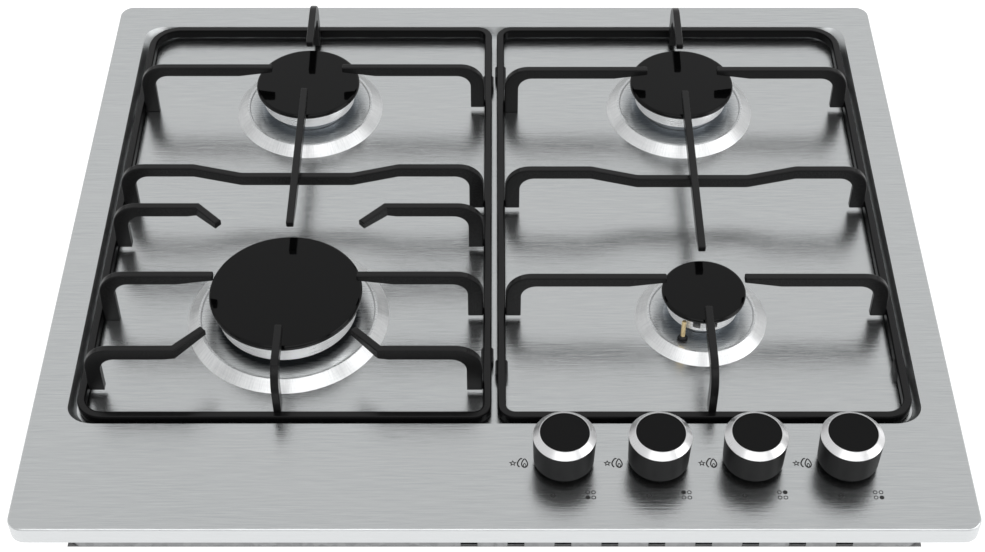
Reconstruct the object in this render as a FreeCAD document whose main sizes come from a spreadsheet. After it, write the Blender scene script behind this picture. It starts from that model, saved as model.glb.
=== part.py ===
import FreeCAD, Part
import os, math

# Four-burner gas cooktop.  Frame: +X right, +Y to the rear, +Z up.
# The origin is the centre of the flat underside of the base pan.
# All lengths in millimetres.

doc = FreeCAD.newDocument("gas_cooktop")
sheet = doc.addObject("Spreadsheet::Sheet", "Dimensions")

# ---------------------------------------------------------------- dimensions
# alias, value, note
TABLE = [
    # pressed top plate
    ("plate_width", 580.0, "left to right"),
    ("plate_depth", 500.0, "front to back"),
    ("plate_top", 44.0, "rim surface above the base pan underside"),
    ("plate_gauge", 1.0, "sheet thickness"),
    ("plate_corner", 10.0, "plan corner radius"),
    ("lip_drop", 12.4, "height of the folded edge"),
    ("lip_return", 10.0, "width of the return flange"),
    ("well_half_width", 267.5, "recess edge, each side of centre"),
    ("well_front", -168.8, "recess front edge"),
    ("well_rear", 225.0, "recess rear edge"),
    ("well_sink", 5.5, "recess depth"),
    ("well_run_front", 2.0, "slope run of the recess wall, front"),
    ("well_run_rear", 3.0, "slope run, rear"),
    ("well_run_side", 4.5, "slope run, sides"),
    ("well_corner", 18.0, "recess corner radius"),
    # embossed burner seats
    ("ridge_rise", 5.7, "ridge height above the recess floor"),
    ("ridge_run", 8.0, "bevel run"),
    ("dish_level", 42.0, "dish inner level"),
    # worktop seal
    ("seal_width", 8.0, ""),
    ("seal_height", 2.0, ""),
    ("seal_inset", 2.0, ""),
    # base pan
    ("pan_half_width", 263.0, ""),
    ("pan_front", -230.0, ""),
    ("pan_rear", 219.0, ""),
    ("pan_tall", 37.3, ""),
    ("pan_gauge", 0.8, ""),
    ("pan_corner", 9.0, ""),
    ("notch_left", 196.0, "corner notch for the gas inlet"),
    ("notch_front", 158.0, ""),
    ("vent_width", 10.4, ""),
    ("vent_tall", 7.0, ""),
    ("vent_first", -15.6, ""),
    ("vent_pitch", 28.86, ""),
    # burners: centres
    ("rapid_x", -135.5, ""), ("rapid_y", -74.0, ""),
    ("semi_left_x", -135.5, ""), ("semi_left_y", 134.5, ""),
    ("semi_right_x", 136.0, ""), ("semi_right_y", 134.0, ""),
    ("aux_x", 136.0, ""), ("aux_y", -74.0, ""),
    # burners: radii and levels
    ("rapid_cap_radius", 49.65, ""), ("rapid_head_radius", 45.5, ""), ("rapid_ring_radius", 66.0, ""),
    ("semi_cap_radius", 37.25, ""), ("semi_head_radius", 33.1, ""), ("semi_ring_radius", 53.0, ""),
    ("aux_cap_radius", 27.3, ""), ("aux_head_radius", 23.2, ""), ("aux_ring_radius", 43.1, ""),
    ("cap_top", 64.7, ""),
    ("rapid_cap_thick", 4.0, ""), ("small_cap_thick", 3.2, ""),
    ("rapid_head_foot", 47.0, ""), ("small_head_foot", 50.0, ""),
    ("head_wall", 3.5, ""), ("port_width", 1.8, ""), ("port_sink", 3.0, ""),
    # grates
    ("grate_inner", 1.8, "gap to the centre line"),
    ("grate_outer", 262.0, ""),
    ("grate_front", -166.3, ""),
    ("grate_rear", 221.7, ""),
    ("bar_width", 5.5, "frame bar"),
    ("bar_bottom", 40.2, ""),
    ("bar_top", 47.0, ""),
    ("leg_foot", 43.1, "lower end of most finger legs"),
    ("leg_foot_low", 38.9, "lower end of the three long legs, just off the plate"),
    ("finger_width", 5.0, ""),
    ("finger_depth", 8.0, ""),
    ("leg_width", 10.0, ""),
    ("left_grate_top", 80.0, ""),
    ("right_grate_top", 78.0, ""),
    ("bend_outer", 17.0, ""),
    ("bend_inner", 10.0, ""),
    ("taper_run", 24.0, ""),
    ("tip_depth", 4.4, ""),
    ("cross_bar_y", 28.0, ""),
    # controls
    ("tap_first", 42.2, "first control, X"),
    ("tap_pitch", 57.63, ""),
    ("tap_y", -199.0, ""),
    ("knob_radius", 19.1, ""),
    ("knob_foot", 47.7, ""),
    ("knob_top", 72.7, ""),
    ("knob_disc_radius", 15.4, ""),
    ("ring_foot", 69.2, "lower edge of the bright bevel"),
    ("spindle_radius", 4.0, ""),
    ("push_travel", 2.8, ""),
    # gas and electrics
    ("rail_axis_y", -222.0, ""), ("rail_axis_z", 14.0, ""),
    ("pipe_radius", 4.0, ""), ("pipe_level", 16.0, ""),
    ("inlet_x", 238.0, ""), ("inlet_y", 186.0, ""),
    ("thread_radius", 10.48, "G 1/2 male thread, major radius"),
    ("channel_top", 10.0, "burner support channels"),
]

VALUE = {}
row = 1
for alias, value, note in TABLE:
    sheet.set("A%d" % row, alias)
    sheet.set("B%d" % row, repr(value))
    sheet.set("C%d" % row, note)
    sheet.setAlias("B%d" % row, alias)
    VALUE[alias] = value
    row += 1
doc.recompute()
for alias in VALUE:
    VALUE[alias] = float(sheet.get(alias))


class Dim(object):
    """A dimension: its value now, and the sheet formula that it follows."""

    def __init__(self, v, e):
        self.v = float(v)
        self.e = e

    def __add__(self, o):
        o = dim(o)
        return Dim(self.v + o.v, "(%s + %s)" % (self.e, o.e))

    def __radd__(self, o):
        return dim(o) + self

    def __sub__(self, o):
        o = dim(o)
        return Dim(self.v - o.v, "(%s - %s)" % (self.e, o.e))

    def __rsub__(self, o):
        return dim(o) - self

    def __mul__(self, o):
        o = dim(o)
        return Dim(self.v * o.v, "(%s * %s)" % (self.e, o.e))

    def __rmul__(self, o):
        return dim(o) * self

    def __truediv__(self, o):
        o = dim(o)
        return Dim(self.v / o.v, "(%s / %s)" % (self.e, o.e))

    def __neg__(self):
        return Dim(-self.v, "(0 - %s)" % self.e)


def dim(o):
    if isinstance(o, Dim):
        return o
    return Dim(o, repr(float(o)) if o >= 0 else "(%r)" % float(o))


def val(o):
    return o.v if isinstance(o, Dim) else float(o)


def D(alias):
    return Dim(VALUE[alias], "Dimensions." + alias)


def bind(obj, prop, d):
    if isinstance(d, Dim):
        obj.setExpression(prop, d.e)


def place(obj, x, y, z, rot=None):
    base = FreeCAD.Vector(val(x), val(y), val(z))
    obj.Placement = FreeCAD.Placement(base, rot if rot else FreeCAD.Rotation())
    bind(obj, "Placement.Base.x", x)
    bind(obj, "Placement.Base.y", y)
    bind(obj, "Placement.Base.z", z)
    return obj


ROT_Y = FreeCAD.Rotation(FreeCAD.Vector(1, 0, 0), -90)   # local +Z to +Y
ROT_X = FreeCAD.Rotation(FreeCAD.Vector(0, 1, 0), 90)    # local +Z to +X


# ---------------------------------------------------------- simple primitives
def box(name, x0, y0, z0, x1, y1, z1):
    o = doc.addObject("Part::Box", name)
    for prop, d in (("Length", x1 - x0), ("Width", y1 - y0), ("Height", z1 - z0)):
        setattr(o, prop, val(d))
        bind(o, prop, d)
    return place(o, x0, y0, z0)


def cyl(name, x, y, z, r, h, rot=None):
    o = doc.addObject("Part::Cylinder", name)
    o.Radius = val(r)
    o.Height = val(h)
    bind(o, "Radius", r)
    bind(o, "Height", h)
    return place(o, x, y, z, rot)


def cone(name, x, y, z, r1, r2, h, rot=None):
    o = doc.addObject("Part::Cone", name)
    o.Radius1 = val(r1)
    o.Radius2 = val(r2)
    o.Height = val(h)
    bind(o, "Radius1", r1)
    bind(o, "Radius2", r2)
    bind(o, "Height", h)
    return place(o, x, y, z, rot)


def prism(name, x, y, z, circum, h, rot=None):
    o = doc.addObject("Part::Prism", name)
    o.Polygon = 6
    o.Circumradius = val(circum)
    o.Height = val(h)
    bind(o, "Circumradius", circum)
    bind(o, "Height", h)
    return place(o, x, y, z, rot)


def fuse(name, parts):
    o = doc.addObject("Part::MultiFuse", name)
    o.Shapes = parts
    o.Refine = True
    return o


def cut(name, base, tools):
    tool = tools[0]
    if len(tools) > 1:
        tool = doc.addObject("Part::Compound", name + "_tools")
        tool.Links = tools
    o = doc.addObject("Part::Cut", name)
    o.Base = base
    o.Tool = tool
    return o


def group(name, parts):
    o = doc.addObject("Part::Compound", name)
    o.Links = parts
    return o


# --------------------------------------------------------------- body helpers
def body(name, x=0, y=0, z=0):
    b = doc.addObject("PartDesign::Body", name)
    place(b, x, y, z)
    return b


def plane(b, role):
    for f in b.Origin.OriginFeatures:
        if getattr(f, "Role", "") == role:
            return f
    raise RuntimeError("no plane " + role)


def attach(b, sk, role, offset):
    sk.AttachmentSupport = [(plane(b, role), "")]
    sk.MapMode = "FlatFace"
    sk.AttachmentOffset = FreeCAD.Placement(FreeCAD.Vector(0, 0, val(offset)), FreeCAD.Rotation())
    bind(sk, "AttachmentOffset.Base.z", offset)


def poly(b, name, role, loops, offset=0):
    """A sketch of closed polygons.  Every corner is held by two dimensions."""
    sk = b.newObject("Sketcher::SketchObject", name)
    attach(b, sk, role, offset)
    binds = []
    for pts in loops:
        first = sk.GeometryCount
        n = len(pts)
        for i in range(n):
            a, c = pts[i], pts[(i + 1) % n]
            sk.addGeometry(Part.LineSegment(FreeCAD.Vector(val(a[0]), val(a[1]), 0),
                                            FreeCAD.Vector(val(c[0]), val(c[1]), 0)), False)
        cons = []
        for i in range(n):
            cons.append(Sketcher_Constraint("Coincident", first + i, 2, first + (i + 1) % n, 1))
        sk.addConstraint(cons)
        for i in range(n):
            for kind, d in (("DistanceX", pts[i][0]), ("DistanceY", pts[i][1])):
                idx = sk.addConstraint(Sketcher_Constraint(kind, -1, 1, first + i, 1, val(d)))
                if isinstance(d, Dim):
                    binds.append((idx, d))
    for idx, d in binds:
        sk.setExpression("Constraints[%d]" % idx, d.e)
    return sk


def circles(b, name, role, items, offset=0):
    """A sketch of circles: (x, y, radius)."""
    sk = b.newObject("Sketcher::SketchObject", name)
    attach(b, sk, role, offset)
    for x, y, r in items:
        g = sk.addGeometry(Part.Circle(FreeCAD.Vector(val(x), val(y), 0), FreeCAD.Vector(0, 0, 1), val(r)), False)
        for kind, d in (("DistanceX", x), ("DistanceY", y)):
            idx = sk.addConstraint(Sketcher_Constraint(kind, -1, 1, g, 3, val(d)))
            if isinstance(d, Dim):
                sk.setExpression("Constraints[%d]" % idx, d.e)
        idx = sk.addConstraint(Sketcher_Constraint("Radius", g, val(r)))
        if isinstance(r, Dim):
            sk.setExpression("Constraints[%d]" % idx, r.e)
    return sk


def pad(b, sk, length, midplane=False, rev=False, taper=0.0):
    f = b.newObject("PartDesign::Pad", sk.Name + "_pad")
    f.Profile = sk
    f.Type = "Length"
    f.Length = val(length)
    bind(f, "Length", length)
    if midplane:
        f.SideType = "Symmetric"
    f.Reversed = rev
    if taper:
        f.TaperAngle = taper
    sk.Visibility = False
    return f


def pocket(b, sk, length, midplane=False, rev=False, taper=0.0):
    doc.recompute()
    before = b.Shape.Volume
    f = b.newObject("PartDesign::Pocket", sk.Name + "_pocket")
    f.Profile = sk
    f.Type = "Length"
    f.Length = val(length)
    bind(f, "Length", length)
    if midplane:
        f.SideType = "Symmetric"
    f.Reversed = rev
    if taper:
        f.TaperAngle = taper
    doc.recompute()
    if not b.Shape.Volume < before - 0.01:
        raise RuntimeError("pocket cut nothing: " + f.Name)
    return f


def revolve(b, sk):
    f = b.newObject("PartDesign::Revolution", sk.Name + "_turn")
    f.Profile = sk
    f.ReferenceAxis = (sk, ["V_Axis"])
    f.Angle = 360.0
    return f


def groove(b, sk):
    doc.recompute()
    before = b.Shape.Volume
    f = b.newObject("PartDesign::Groove", sk.Name + "_groove")
    f.Profile = sk
    f.ReferenceAxis = (sk, ["V_Axis"])
    f.Angle = 360.0
    doc.recompute()
    if not b.Shape.Volume < before - 0.01:
        raise RuntimeError("groove cut nothing: " + f.Name)
    return f


def pick(b, test):
    names = []
    for i, e in enumerate(b.Tip.Shape.Edges):
        if test(e):
            names.append("Edge%d" % (i + 1))
    return names


def fillet(b, name, test, radius, kind="Fillet"):
    doc.recompute()
    names = pick(b, test)
    if not names:
        raise RuntimeError("no edges for " + name)
    base = b.Tip
    f = b.newObject("PartDesign::" + kind, name)
    f.Base = (base, names)
    prop = "Radius" if kind == "Fillet" else "Size"
    setattr(f, prop, val(radius))
    bind(f, prop, radius)
    b.Tip = f
    doc.recompute()
    if "Invalid" in f.State or f.Shape.isNull() or not f.Shape.isValid():
        raise RuntimeError("rounding failed: " + name)
    return f


def is_line(e):
    return e.Curve.TypeId == "Part::GeomLine"


def vertical(e):
    if not is_line(e):
        return False
    a, c = e.Vertexes[0].Point, e.Vertexes[-1].Point
    return abs(a.x - c.x) < 1e-6 and abs(a.y - c.y) < 1e-6 and abs(a.z - c.z) > 0.1


def at(e, axis, value, tol=1e-4):
    """True where the whole edge lies on the plane axis = value."""
    bb = e.BoundBox
    lo = {"x": bb.XMin, "y": bb.YMin, "z": bb.ZMin}[axis]
    hi = {"x": bb.XMax, "y": bb.YMax, "z": bb.ZMax}[axis]
    return abs(lo - value) < tol and abs(hi - value) < tol


def circle_at(e, r, z, tol=1e-3):
    return (e.Curve.TypeId == "Part::GeomCircle" and abs(e.Curve.Radius - r) < tol
            and abs(e.Curve.Center.z - z) < tol)


def Sketcher_Constraint(*args):
    import Sketcher
    return Sketcher.Constraint(*args)


NODES = []


def node(obj, name):
    obj.Label = name
    NODES.append(obj)
    return obj


def rect(x0, y0, x1, y1):
    return [(x0, y0), (x1, y0), (x1, y1), (x0, y1)]


# ================================================================= top plate
W2 = D("plate_width") / 2
L2 = D("plate_depth") / 2
TOP = D("plate_top")
T = D("plate_gauge")
LIP = TOP - D("lip_drop")
FLOOR = TOP - D("well_sink")
WELL = D("well_half_width")
WF, WR = D("well_front"), D("well_rear")

BURNERS = [
    ("rapid", D("rapid_x"), D("rapid_y"), D("rapid_ring_radius"), D("rapid_head_radius"),
     D("rapid_cap_radius"), D("rapid_head_foot"), D("rapid_cap_thick"), 40),
    ("semi_left", D("semi_left_x"), D("semi_left_y"), D("semi_ring_radius"), D("semi_head_radius"),
     D("semi_cap_radius"), D("small_head_foot"), D("small_cap_thick"), 30),
    ("semi_right", D("semi_right_x"), D("semi_right_y"), D("semi_ring_radius"), D("semi_head_radius"),
     D("semi_cap_radius"), D("small_head_foot"), D("small_cap_thick"), 30),
    ("auxiliary", D("aux_x"), D("aux_y"), D("aux_ring_radius"), D("aux_head_radius"),
     D("aux_cap_radius"), D("small_head_foot"), D("small_cap_thick"), 20),
]
# angle of the flame sensor and of the igniter about each burner, degrees
SENSOR_ANGLE = {"rapid": 59.0, "semi_left": 59.0, "semi_right": 120.0, "auxiliary": -121.0}
IGNITER_ANGLE = {"rapid": 120.0, "semi_left": 120.0, "semi_right": 59.0, "auxiliary": 120.0}
SENSOR_GAP = 4.0      # head side to sensor axis
IGNITER_GAP = 3.6     # head side to igniter axis


def polar(cx, cy, r, deg):
    c = math.cos(math.radians(deg))
    s = math.sin(math.radians(deg))
    return cx + r * c, cy + r * s


def block(name, loop, z0, z1, radius):
    """An upright block with rounded corners."""
    b = body(name)
    sk = poly(b, name + "_outline", "XY_Plane", [loop], z0)
    pad(b, sk, z1 - z0)
    fillet(b, name + "_corners", vertical, radius)
    return b


skin = block("PlateSkin", rect(-W2, -L2, W2, L2), LIP, TOP, D("plate_corner"))
fillet(skin, "plate_edge", lambda e: at(e, "z", TOP.v), 1.6)
room = block("PlateRoom", rect(-(W2 - T), -(L2 - T), W2 - T, L2 - T), LIP + T, TOP - T, D("plate_corner") - T)
FI = D("lip_return")
mouth = block("PlateMouth", rect(-(W2 - FI), -(L2 - FI), W2 - FI, L2 - FI), LIP - 1, LIP + T + 1, dim(4.0))
tp = cut("plate_shell", skin, [room, mouth])


def tub(name, z0, z1, grow):
    """A tapered tub, wider at the top.  It is built along its own Y and turned upright."""
    b = doc.addObject("PartDesign::Body", name)
    place(b, 0, 0, 0, FreeCAD.Rotation(FreeCAD.Vector(1, 0, 0), 90))
    w = b.newObject("PartDesign::AdditiveWedge", name + "_wedge")
    side, front, rear = D("well_run_side"), D("well_run_front"), D("well_run_rear")
    dims = (("Ymin", z0), ("Ymax", z1),
            ("Xmin", -(WELL - side + grow)), ("Xmax", WELL - side + grow),
            ("Zmin", -(WR - rear + grow)), ("Zmax", -(WF + front - grow)),
            ("X2min", -(WELL + grow)), ("X2max", WELL + grow),
            ("Z2min", -(WR + grow)), ("Z2max", -(WF - grow)))
    for prop, d in dims:
        setattr(w, prop, val(d))
        bind(w, prop, d)
    doc.recompute()

    def slanted(e):
        return is_line(e) and abs(e.Vertexes[0].Point.y - e.Vertexes[-1].Point.y) > 3

    fillet(b, name + "_corners", slanted, D("well_corner") + grow)
    return b


tub_out = tub("WellSkin", FLOOR - T, TOP - T * 0.5, T * 0.85)
hollow = tub("WellHollow", FLOOR, TOP, dim(0.0))
overcut = box("well_overcut", -(WELL - 25), WF + 25, TOP - 0.5, WELL - 25, WR - 25, TOP + 0.5)

seats = []
seat_holes = []
for nm, cx, cy, rr, rh, rc, zf, ct, ports in BURNERS:
    s = body("Seat_" + nm, cx, cy, 0)
    ridge = rr - D("ridge_run")
    zr = FLOOR + D("ridge_rise")
    dl = D("dish_level")
    rin = rh - 6.0
    sk = poly(s, "seat_profile_" + nm, "XZ_Plane", [[
        (rr, FLOOR - T), (rr, FLOOR), (ridge + 0.7, zr), (ridge - 0.7, zr), (ridge - 1.5, zr - 0.9),
        (rh + 2.0, dl), (rin, dl), (rin, dl - T), (rh + 2.2, dl - T), (ridge - 1.9, zr - 0.9 - T),
        (ridge + 0.1, zr - T - 0.1), (rr - 1.5, FLOOR - T)]])
    revolve(s, sk)
    fillet(s, "seat_crown_" + nm, lambda e: circle_at(e, ridge.v + 0.7, zr.v) or circle_at(e, ridge.v - 0.7, zr.v), 0.45)
    seats.append(s)
    seat_holes.append(cyl("seat_hole_" + nm, cx, cy, FLOOR - 2 * T, rr - 0.8, T * 3))

TAPS = [D("tap_first") + D("tap_pitch") * i for i in range(4)]
TY = D("tap_y")
holes = []
for i, x in enumerate(TAPS):
    holes.append(cyl("spindle_hole_%d" % (i + 1), x, TY, TOP - 5, 7.0, dim(8.0)))
for nm, cx, cy, rr, rh, rc, zf, ct, ports in BURNERS:
    x, y = polar(cx, cy, rh + SENSOR_GAP, SENSOR_ANGLE[nm])
    holes.append(cyl("sensor_hole_" + nm, x, y, D("dish_level") - 4, 3.2, dim(8.0)))
    x, y = polar(cx, cy, rh + IGNITER_GAP, IGNITER_ANGLE[nm])
    holes.append(cyl("igniter_hole_" + nm, x, y, D("dish_level") - 4, 3.2, dim(8.0)))

sheet_raw = fuse("plate_with_tub", [tp, tub_out])
sheet_well = cut("plate_with_well", sheet_raw, [fuse("well_space", [hollow, overcut])])
sheet_open = cut("plate_opened", sheet_well, seat_holes)
sheet_seats = fuse("plate_with_seats", [sheet_open] + seats)
node(cut("plate_finished", sheet_seats, holes), "top_plate")

# ============================================================== worktop seal
ws = body("WorktopSeal")
i0 = D("seal_inset")
i1 = i0 + D("seal_width")
sk = poly(ws, "seal_outline", "XY_Plane",
          [rect(-(W2 - i0), -(L2 - i0), W2 - i0, L2 - i0), rect(-(W2 - i1), -(L2 - i1), W2 - i1, L2 - i1)],
          LIP - D("seal_height"))
pad(ws, sk, D("seal_height"))
fillet(ws, "seal_corners", lambda e: vertical(e) and abs(e.Vertexes[0].Point.x) > W2.v - i0.v - 1, 8.0)
node(ws, "worktop_seal")

# ================================================================== base pan
PW = D("pan_half_width")
PF, PR = D("pan_front"), D("pan_rear")
PG = D("pan_gauge")
NL, NF = D("notch_left"), D("notch_front")
PT = D("pan_tall")


def pan_loop(g):
    return [(-PW + g, PF + g), (PW - g, PF + g), (PW - g, NF - g), (NL - g, NF - g), (NL - g, PR - g), (-PW + g, PR - g)]


pan_skin = block("PanSkin", pan_loop(dim(0.0)), dim(0.0), PT, D("pan_corner"))
pan_room = block("PanRoom", pan_loop(PG), PG, PT + 1, D("pan_corner") - PG)
# vent slots along the foot of the front wall, and cooling slots in the floor
vents = body("PanVents")
vh = D("vent_width") / 2
vx = D("vent_first")
sk = poly(vents, "vent_slot", "XZ_Plane",
          [[(vx - vh, dim(-1.0)), (vx + vh, dim(-1.0)), (vx + vh, D("vent_tall") - 1.6), (vx + vh - 1.6, D("vent_tall")),
            (vx - vh + 1.6, D("vent_tall")), (vx - vh, D("vent_tall") - 1.6)]], -(PF + PG))
slot = pad(vents, sk, dim(4.0))
pat = vents.newObject("PartDesign::LinearPattern", "vent_row")
pat.Originals = [slot]
pat.Direction = (sk, ["H_Axis"])
pat.Length = VALUE["vent_pitch"] * 8
pat.setExpression("Length", "Dimensions.vent_pitch * 8")
pat.Occurrences = 9
vents.Tip = pat
doc.recompute()
slots = []
for side, x0 in (("left", -200.0), ("right", 80.0)):
    sb = body("FloorSlots_" + side)
    sk = poly(sb, "floor_slot_" + side, "XY_Plane", [rect(dim(x0), dim(18.0), dim(x0 + 5.0), dim(58.0))], -1)
    slot = pad(sb, sk, dim(4.0))
    pat = sb.newObject("PartDesign::LinearPattern", "floor_slot_row_" + side)
    pat.Originals = [slot]
    pat.Direction = (sk, ["H_Axis"])
    pat.Length = 112.0
    pat.Occurrences = 9
    sb.Tip = pat
    doc.recompute()
    slots.append(sb)
pan = cut("pan_shell", pan_skin, [pan_room, vents] + slots)

# bracket places round the wall: (x, y, outward direction)
SIDE_Y = (-120.0, 100.0)
BRACKETS = []
for y in SIDE_Y:
    BRACKETS.append((-PW, dim(y), "-x"))
    BRACKETS.append((PW, dim(y), "+x"))
for x in (-190.0, 120.0):
    BRACKETS.append((dim(x), PR, "+y"))
for x in (-190.0, -60.0):
    BRACKETS.append((dim(x), PF, "-y"))
SCREW_Z = 26.0
wall_holes = []
brackets = []
screws = []
for i, (x, y, way) in enumerate(BRACKETS):
    n = "bracket_%d" % (i + 1)
    bt = 1.2
    if way in ("-x", "+x"):
        s = -1.0 if way == "-x" else 1.0
        xin = x - s * PG
        lo, hi = (xin, xin + bt) if s < 0 else (xin - bt, xin)
        tab = box(n + "_tab", lo, y - 8, dim(20.0), hi, y + 8, FLOOR - T)
        lo2, hi2 = (xin, xin + 13.0) if s < 0 else (xin - 13.0, xin)
        foot = box(n + "_foot", lo2, y - 8, FLOOR - T - bt, hi2, y + 8, FLOOR - T)
        hole = cyl(n + "_hole", x - s * 4.0, y, SCREW_Z, 1.9, dim(8.0),
                   FreeCAD.Rotation(FreeCAD.Vector(0, 1, 0), 90 * s))
        wall_holes.append(cyl(n + "_wall_hole", x - s * 4.0, y, SCREW_Z, 1.9, dim(8.0),
                              FreeCAD.Rotation(FreeCAD.Vector(0, 1, 0), 90 * s)))
        head = cyl(n + "_screw_head", x, y, SCREW_Z, 3.5, dim(2.0),
                   FreeCAD.Rotation(FreeCAD.Vector(0, 1, 0), 90 * s))
        shank = cyl(n + "_screw_shank", x - s * 7.0, y, SCREW_Z, 1.55, dim(7.5),
                    FreeCAD.Rotation(FreeCAD.Vector(0, 1, 0), 90 * s))
        slot1 = box(n + "_slot_1", *((x + s * 1.1, y - 2.2, dim(SCREW_Z - 0.4), x + s * 3.0, y + 2.2, dim(SCREW_Z + 0.4))
                                     if s > 0 else
                                     (x + s * 3.0, y - 2.2, dim(SCREW_Z - 0.4), x + s * 1.1, y + 2.2, dim(SCREW_Z + 0.4))))
        slot2 = box(n + "_slot_2", *((x + s * 1.1, y - 0.4, dim(SCREW_Z - 2.2), x + s * 3.0, y + 0.4, dim(SCREW_Z + 2.2))
                                     if s > 0 else
                                     (x + s * 3.0, y - 0.4, dim(SCREW_Z - 2.2), x + s * 1.1, y + 0.4, dim(SCREW_Z + 2.2))))
    else:
        s = -1.0 if way == "-y" else 1.0
        yin = y - s * PG
        under = (TOP - T) if s < 0 else (FLOOR - T)
        lo, hi = (yin, yin + bt) if s < 0 else (yin - bt, yin)
        tab = box(n + "_tab", x - 8, lo, dim(20.0), x + 8, hi, under)
        lo2, hi2 = (yin, yin + 13.0) if s < 0 else (yin - 13.0, yin)
        foot = box(n + "_foot", x - 8, lo2, under - bt, x + 8, hi2, under)
        rot = FreeCAD.Rotation(FreeCAD.Vector(1, 0, 0), -90 * s)
        hole = cyl(n + "_hole", x, y - s * 4.0, SCREW_Z, 1.9, dim(8.0), rot)
        wall_holes.append(cyl(n + "_wall_hole", x, y - s * 4.0, SCREW_Z, 1.9, dim(8.0), rot))
        head = cyl(n + "_screw_head", x, y, SCREW_Z, 3.5, dim(2.0), rot)
        shank = cyl(n + "_screw_shank", x, y - s * 7.0, SCREW_Z, 1.55, dim(7.5), rot)
        a, c = (y + s * 1.1, y + s * 3.0) if s > 0 else (y + s * 3.0, y + s * 1.1)
        slot1 = box(n + "_slot_1", x - 2.2, a, dim(SCREW_Z - 0.4), x + 2.2, c, dim(SCREW_Z + 0.4))
        slot2 = box(n + "_slot_2", x - 0.4, a, dim(SCREW_Z - 2.2), x + 0.4, c, dim(SCREW_Z + 2.2))
    brackets.append(cut(n, fuse(n + "_blank", [tab, foot]), [hole]))
    screws.append(cut(n + "_screw", fuse(n + "_screw_blank", [head, shank]), [slot1, slot2]))

# holes for the worktop clamp screws, two in each side wall
CLAMP_Y = (-180.0, 40.0)
for s, tag in ((-1.0, "left"), (1.0, "right")):
    for k, y in enumerate(CLAMP_Y):
        wall_holes.append(cyl("clamp_hole_%s_%d" % (tag, k + 1), s * (PW - 4), dim(y), dim(12.0), 2.1, dim(8.0),
                              FreeCAD.Rotation(FreeCAD.Vector(0, 1, 0), 90 * s)))
GROM_X, GROM_Z = -225.0, 16.0
wall_holes.append(cyl("grommet_hole", dim(GROM_X), PR - 4, dim(GROM_Z), 6.5, dim(8.0), ROT_Y))
INLET_Z = 24.0
wall_holes.append(cyl("inlet_hole", D("inlet_x"), NF - 4, dim(INLET_Z), 7.0, dim(8.0), ROT_Y))
node(cut("pan_finished", pan, wall_holes), "base_pan")
node(group("BracketGroup", brackets), "pan_brackets")
node(group("ScrewGroup", screws), "pan_screws")

# ===================================================== burner support channels
CT = D("channel_top")
channels = []
for tag, y in (("front", D("rapid_y")), ("rear", D("semi_right_y"))):
    c = body("Channel_" + tag, 0, y, 0)
    g = 1.5
    sk = poly(c, "channel_profile_" + tag, "YZ_Plane", [[
        (dim(-27.0), PG), (dim(-17.0), PG), (dim(-17.0), CT - g), (dim(17.0), CT - g), (dim(17.0), PG), (dim(27.0), PG),
        (dim(27.0), PG + g), (dim(17.0 + g), PG + g), (dim(17.0 + g), CT), (dim(-17.0 - g), CT),
        (dim(-17.0 - g), PG + g), (dim(-27.0), PG + g)]], 0)
    pad(c, sk, dim(376.0), midplane=True)
    channels.append(c)
node(group("ChannelGroup", channels), "burner_channels")

# ==================================================== burner cups, heads, caps
PL = D("pipe_level")
cups = {}
injectors = []
for nm, cx, cy, rr, rh, rc, zf, ct, ports in BURNERS:
    dl = D("dish_level")
    ro = rh - 6.5                      # rim outside, through the plate hole
    ri = ro - 2.2
    c = body("Cup_" + nm, cx, cy, 0)
    sk = poly(c, "cup_profile_" + nm, "XZ_Plane", [[
        (dim(0.0), CT), (dim(9.0), CT), (dim(9.0), dim(23.0)), (ro, dim(23.0)), (ro, dl - T - 1.8), (rh + 7.5, dl - T - 1.8),
        (rh + 7.5, dl - T), (ro, dl - T), (ro, zf), (ri, zf), (ri, dim(25.2)), (dim(8.0), dim(25.2)),
        (dim(8.0), dim(30.0)), (dim(0.0), dim(30.0))]])
    revolve(c, sk)
    sk = circles(c, "cup_inlet_" + nm, "XZ_Plane", [(dim(0.0), PL, 5.8)], 0)
    pad(c, sk, dim(20.0))
    sk = circles(c, "cup_gallery_" + nm, "XZ_Plane", [(dim(0.0), PL, 2.6)], 0)
    pocket(c, sk, dim(21.0), rev=True)
    sk = circles(c, "cup_jet_bore_" + nm, "XY_Plane", [(dim(0.0), dim(0.0), 3.0)], PL)
    pocket(c, sk, dim(16.0), rev=True)
    # air windows through the floor of the cup
    wr = (ri + 8.0) / 2
    sk = circles(c, "cup_air_" + nm, "XY_Plane", [(wr, dim(0.0), 2.0)], dim(22.0))
    hole = pocket(c, sk, dim(5.0), rev=True)
    pat = c.newObject("PartDesign::PolarPattern", "cup_air_ring_" + nm)
    pat.Originals = [hole]
    pat.Axis = (sk, ["N_Axis"])
    pat.Angle = 360.0
    pat.Occurrences = 6
    c.Tip = pat
    doc.recompute()
    # holes in the flange for the flame sensor and the igniter
    spots = []
    for gap, deg in ((SENSOR_GAP, SENSOR_ANGLE[nm]), (IGNITER_GAP, IGNITER_ANGLE[nm])):
        x, y = polar(dim(0.0), dim(0.0), rh + gap, deg)
        spots.append((x, y, 2.6))
    sk = circles(c, "flange_holes_" + nm, "XY_Plane", spots, dl - T - 3)
    pocket(c, sk, dim(4.0), rev=True)
    cups[nm] = c
    jet = fuse("jet_" + nm, [prism("jet_hex_" + nm, cx, cy, dim(30.0), 4.4, dim(5.0)),
                             cyl("jet_shank_" + nm, cx, cy, dim(24.0), 2.85, dim(6.5)),
                             cone("jet_nose_" + nm, cx, cy, dim(35.0), 3.2, 1.6, dim(2.0))])
    injectors.append(cut("injector_" + nm, jet, [cyl("jet_bore_" + nm, cx, cy, dim(23.0), 0.9, dim(16.0))]))
node(cups["rapid"], "burner_cup_rapid")
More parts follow.
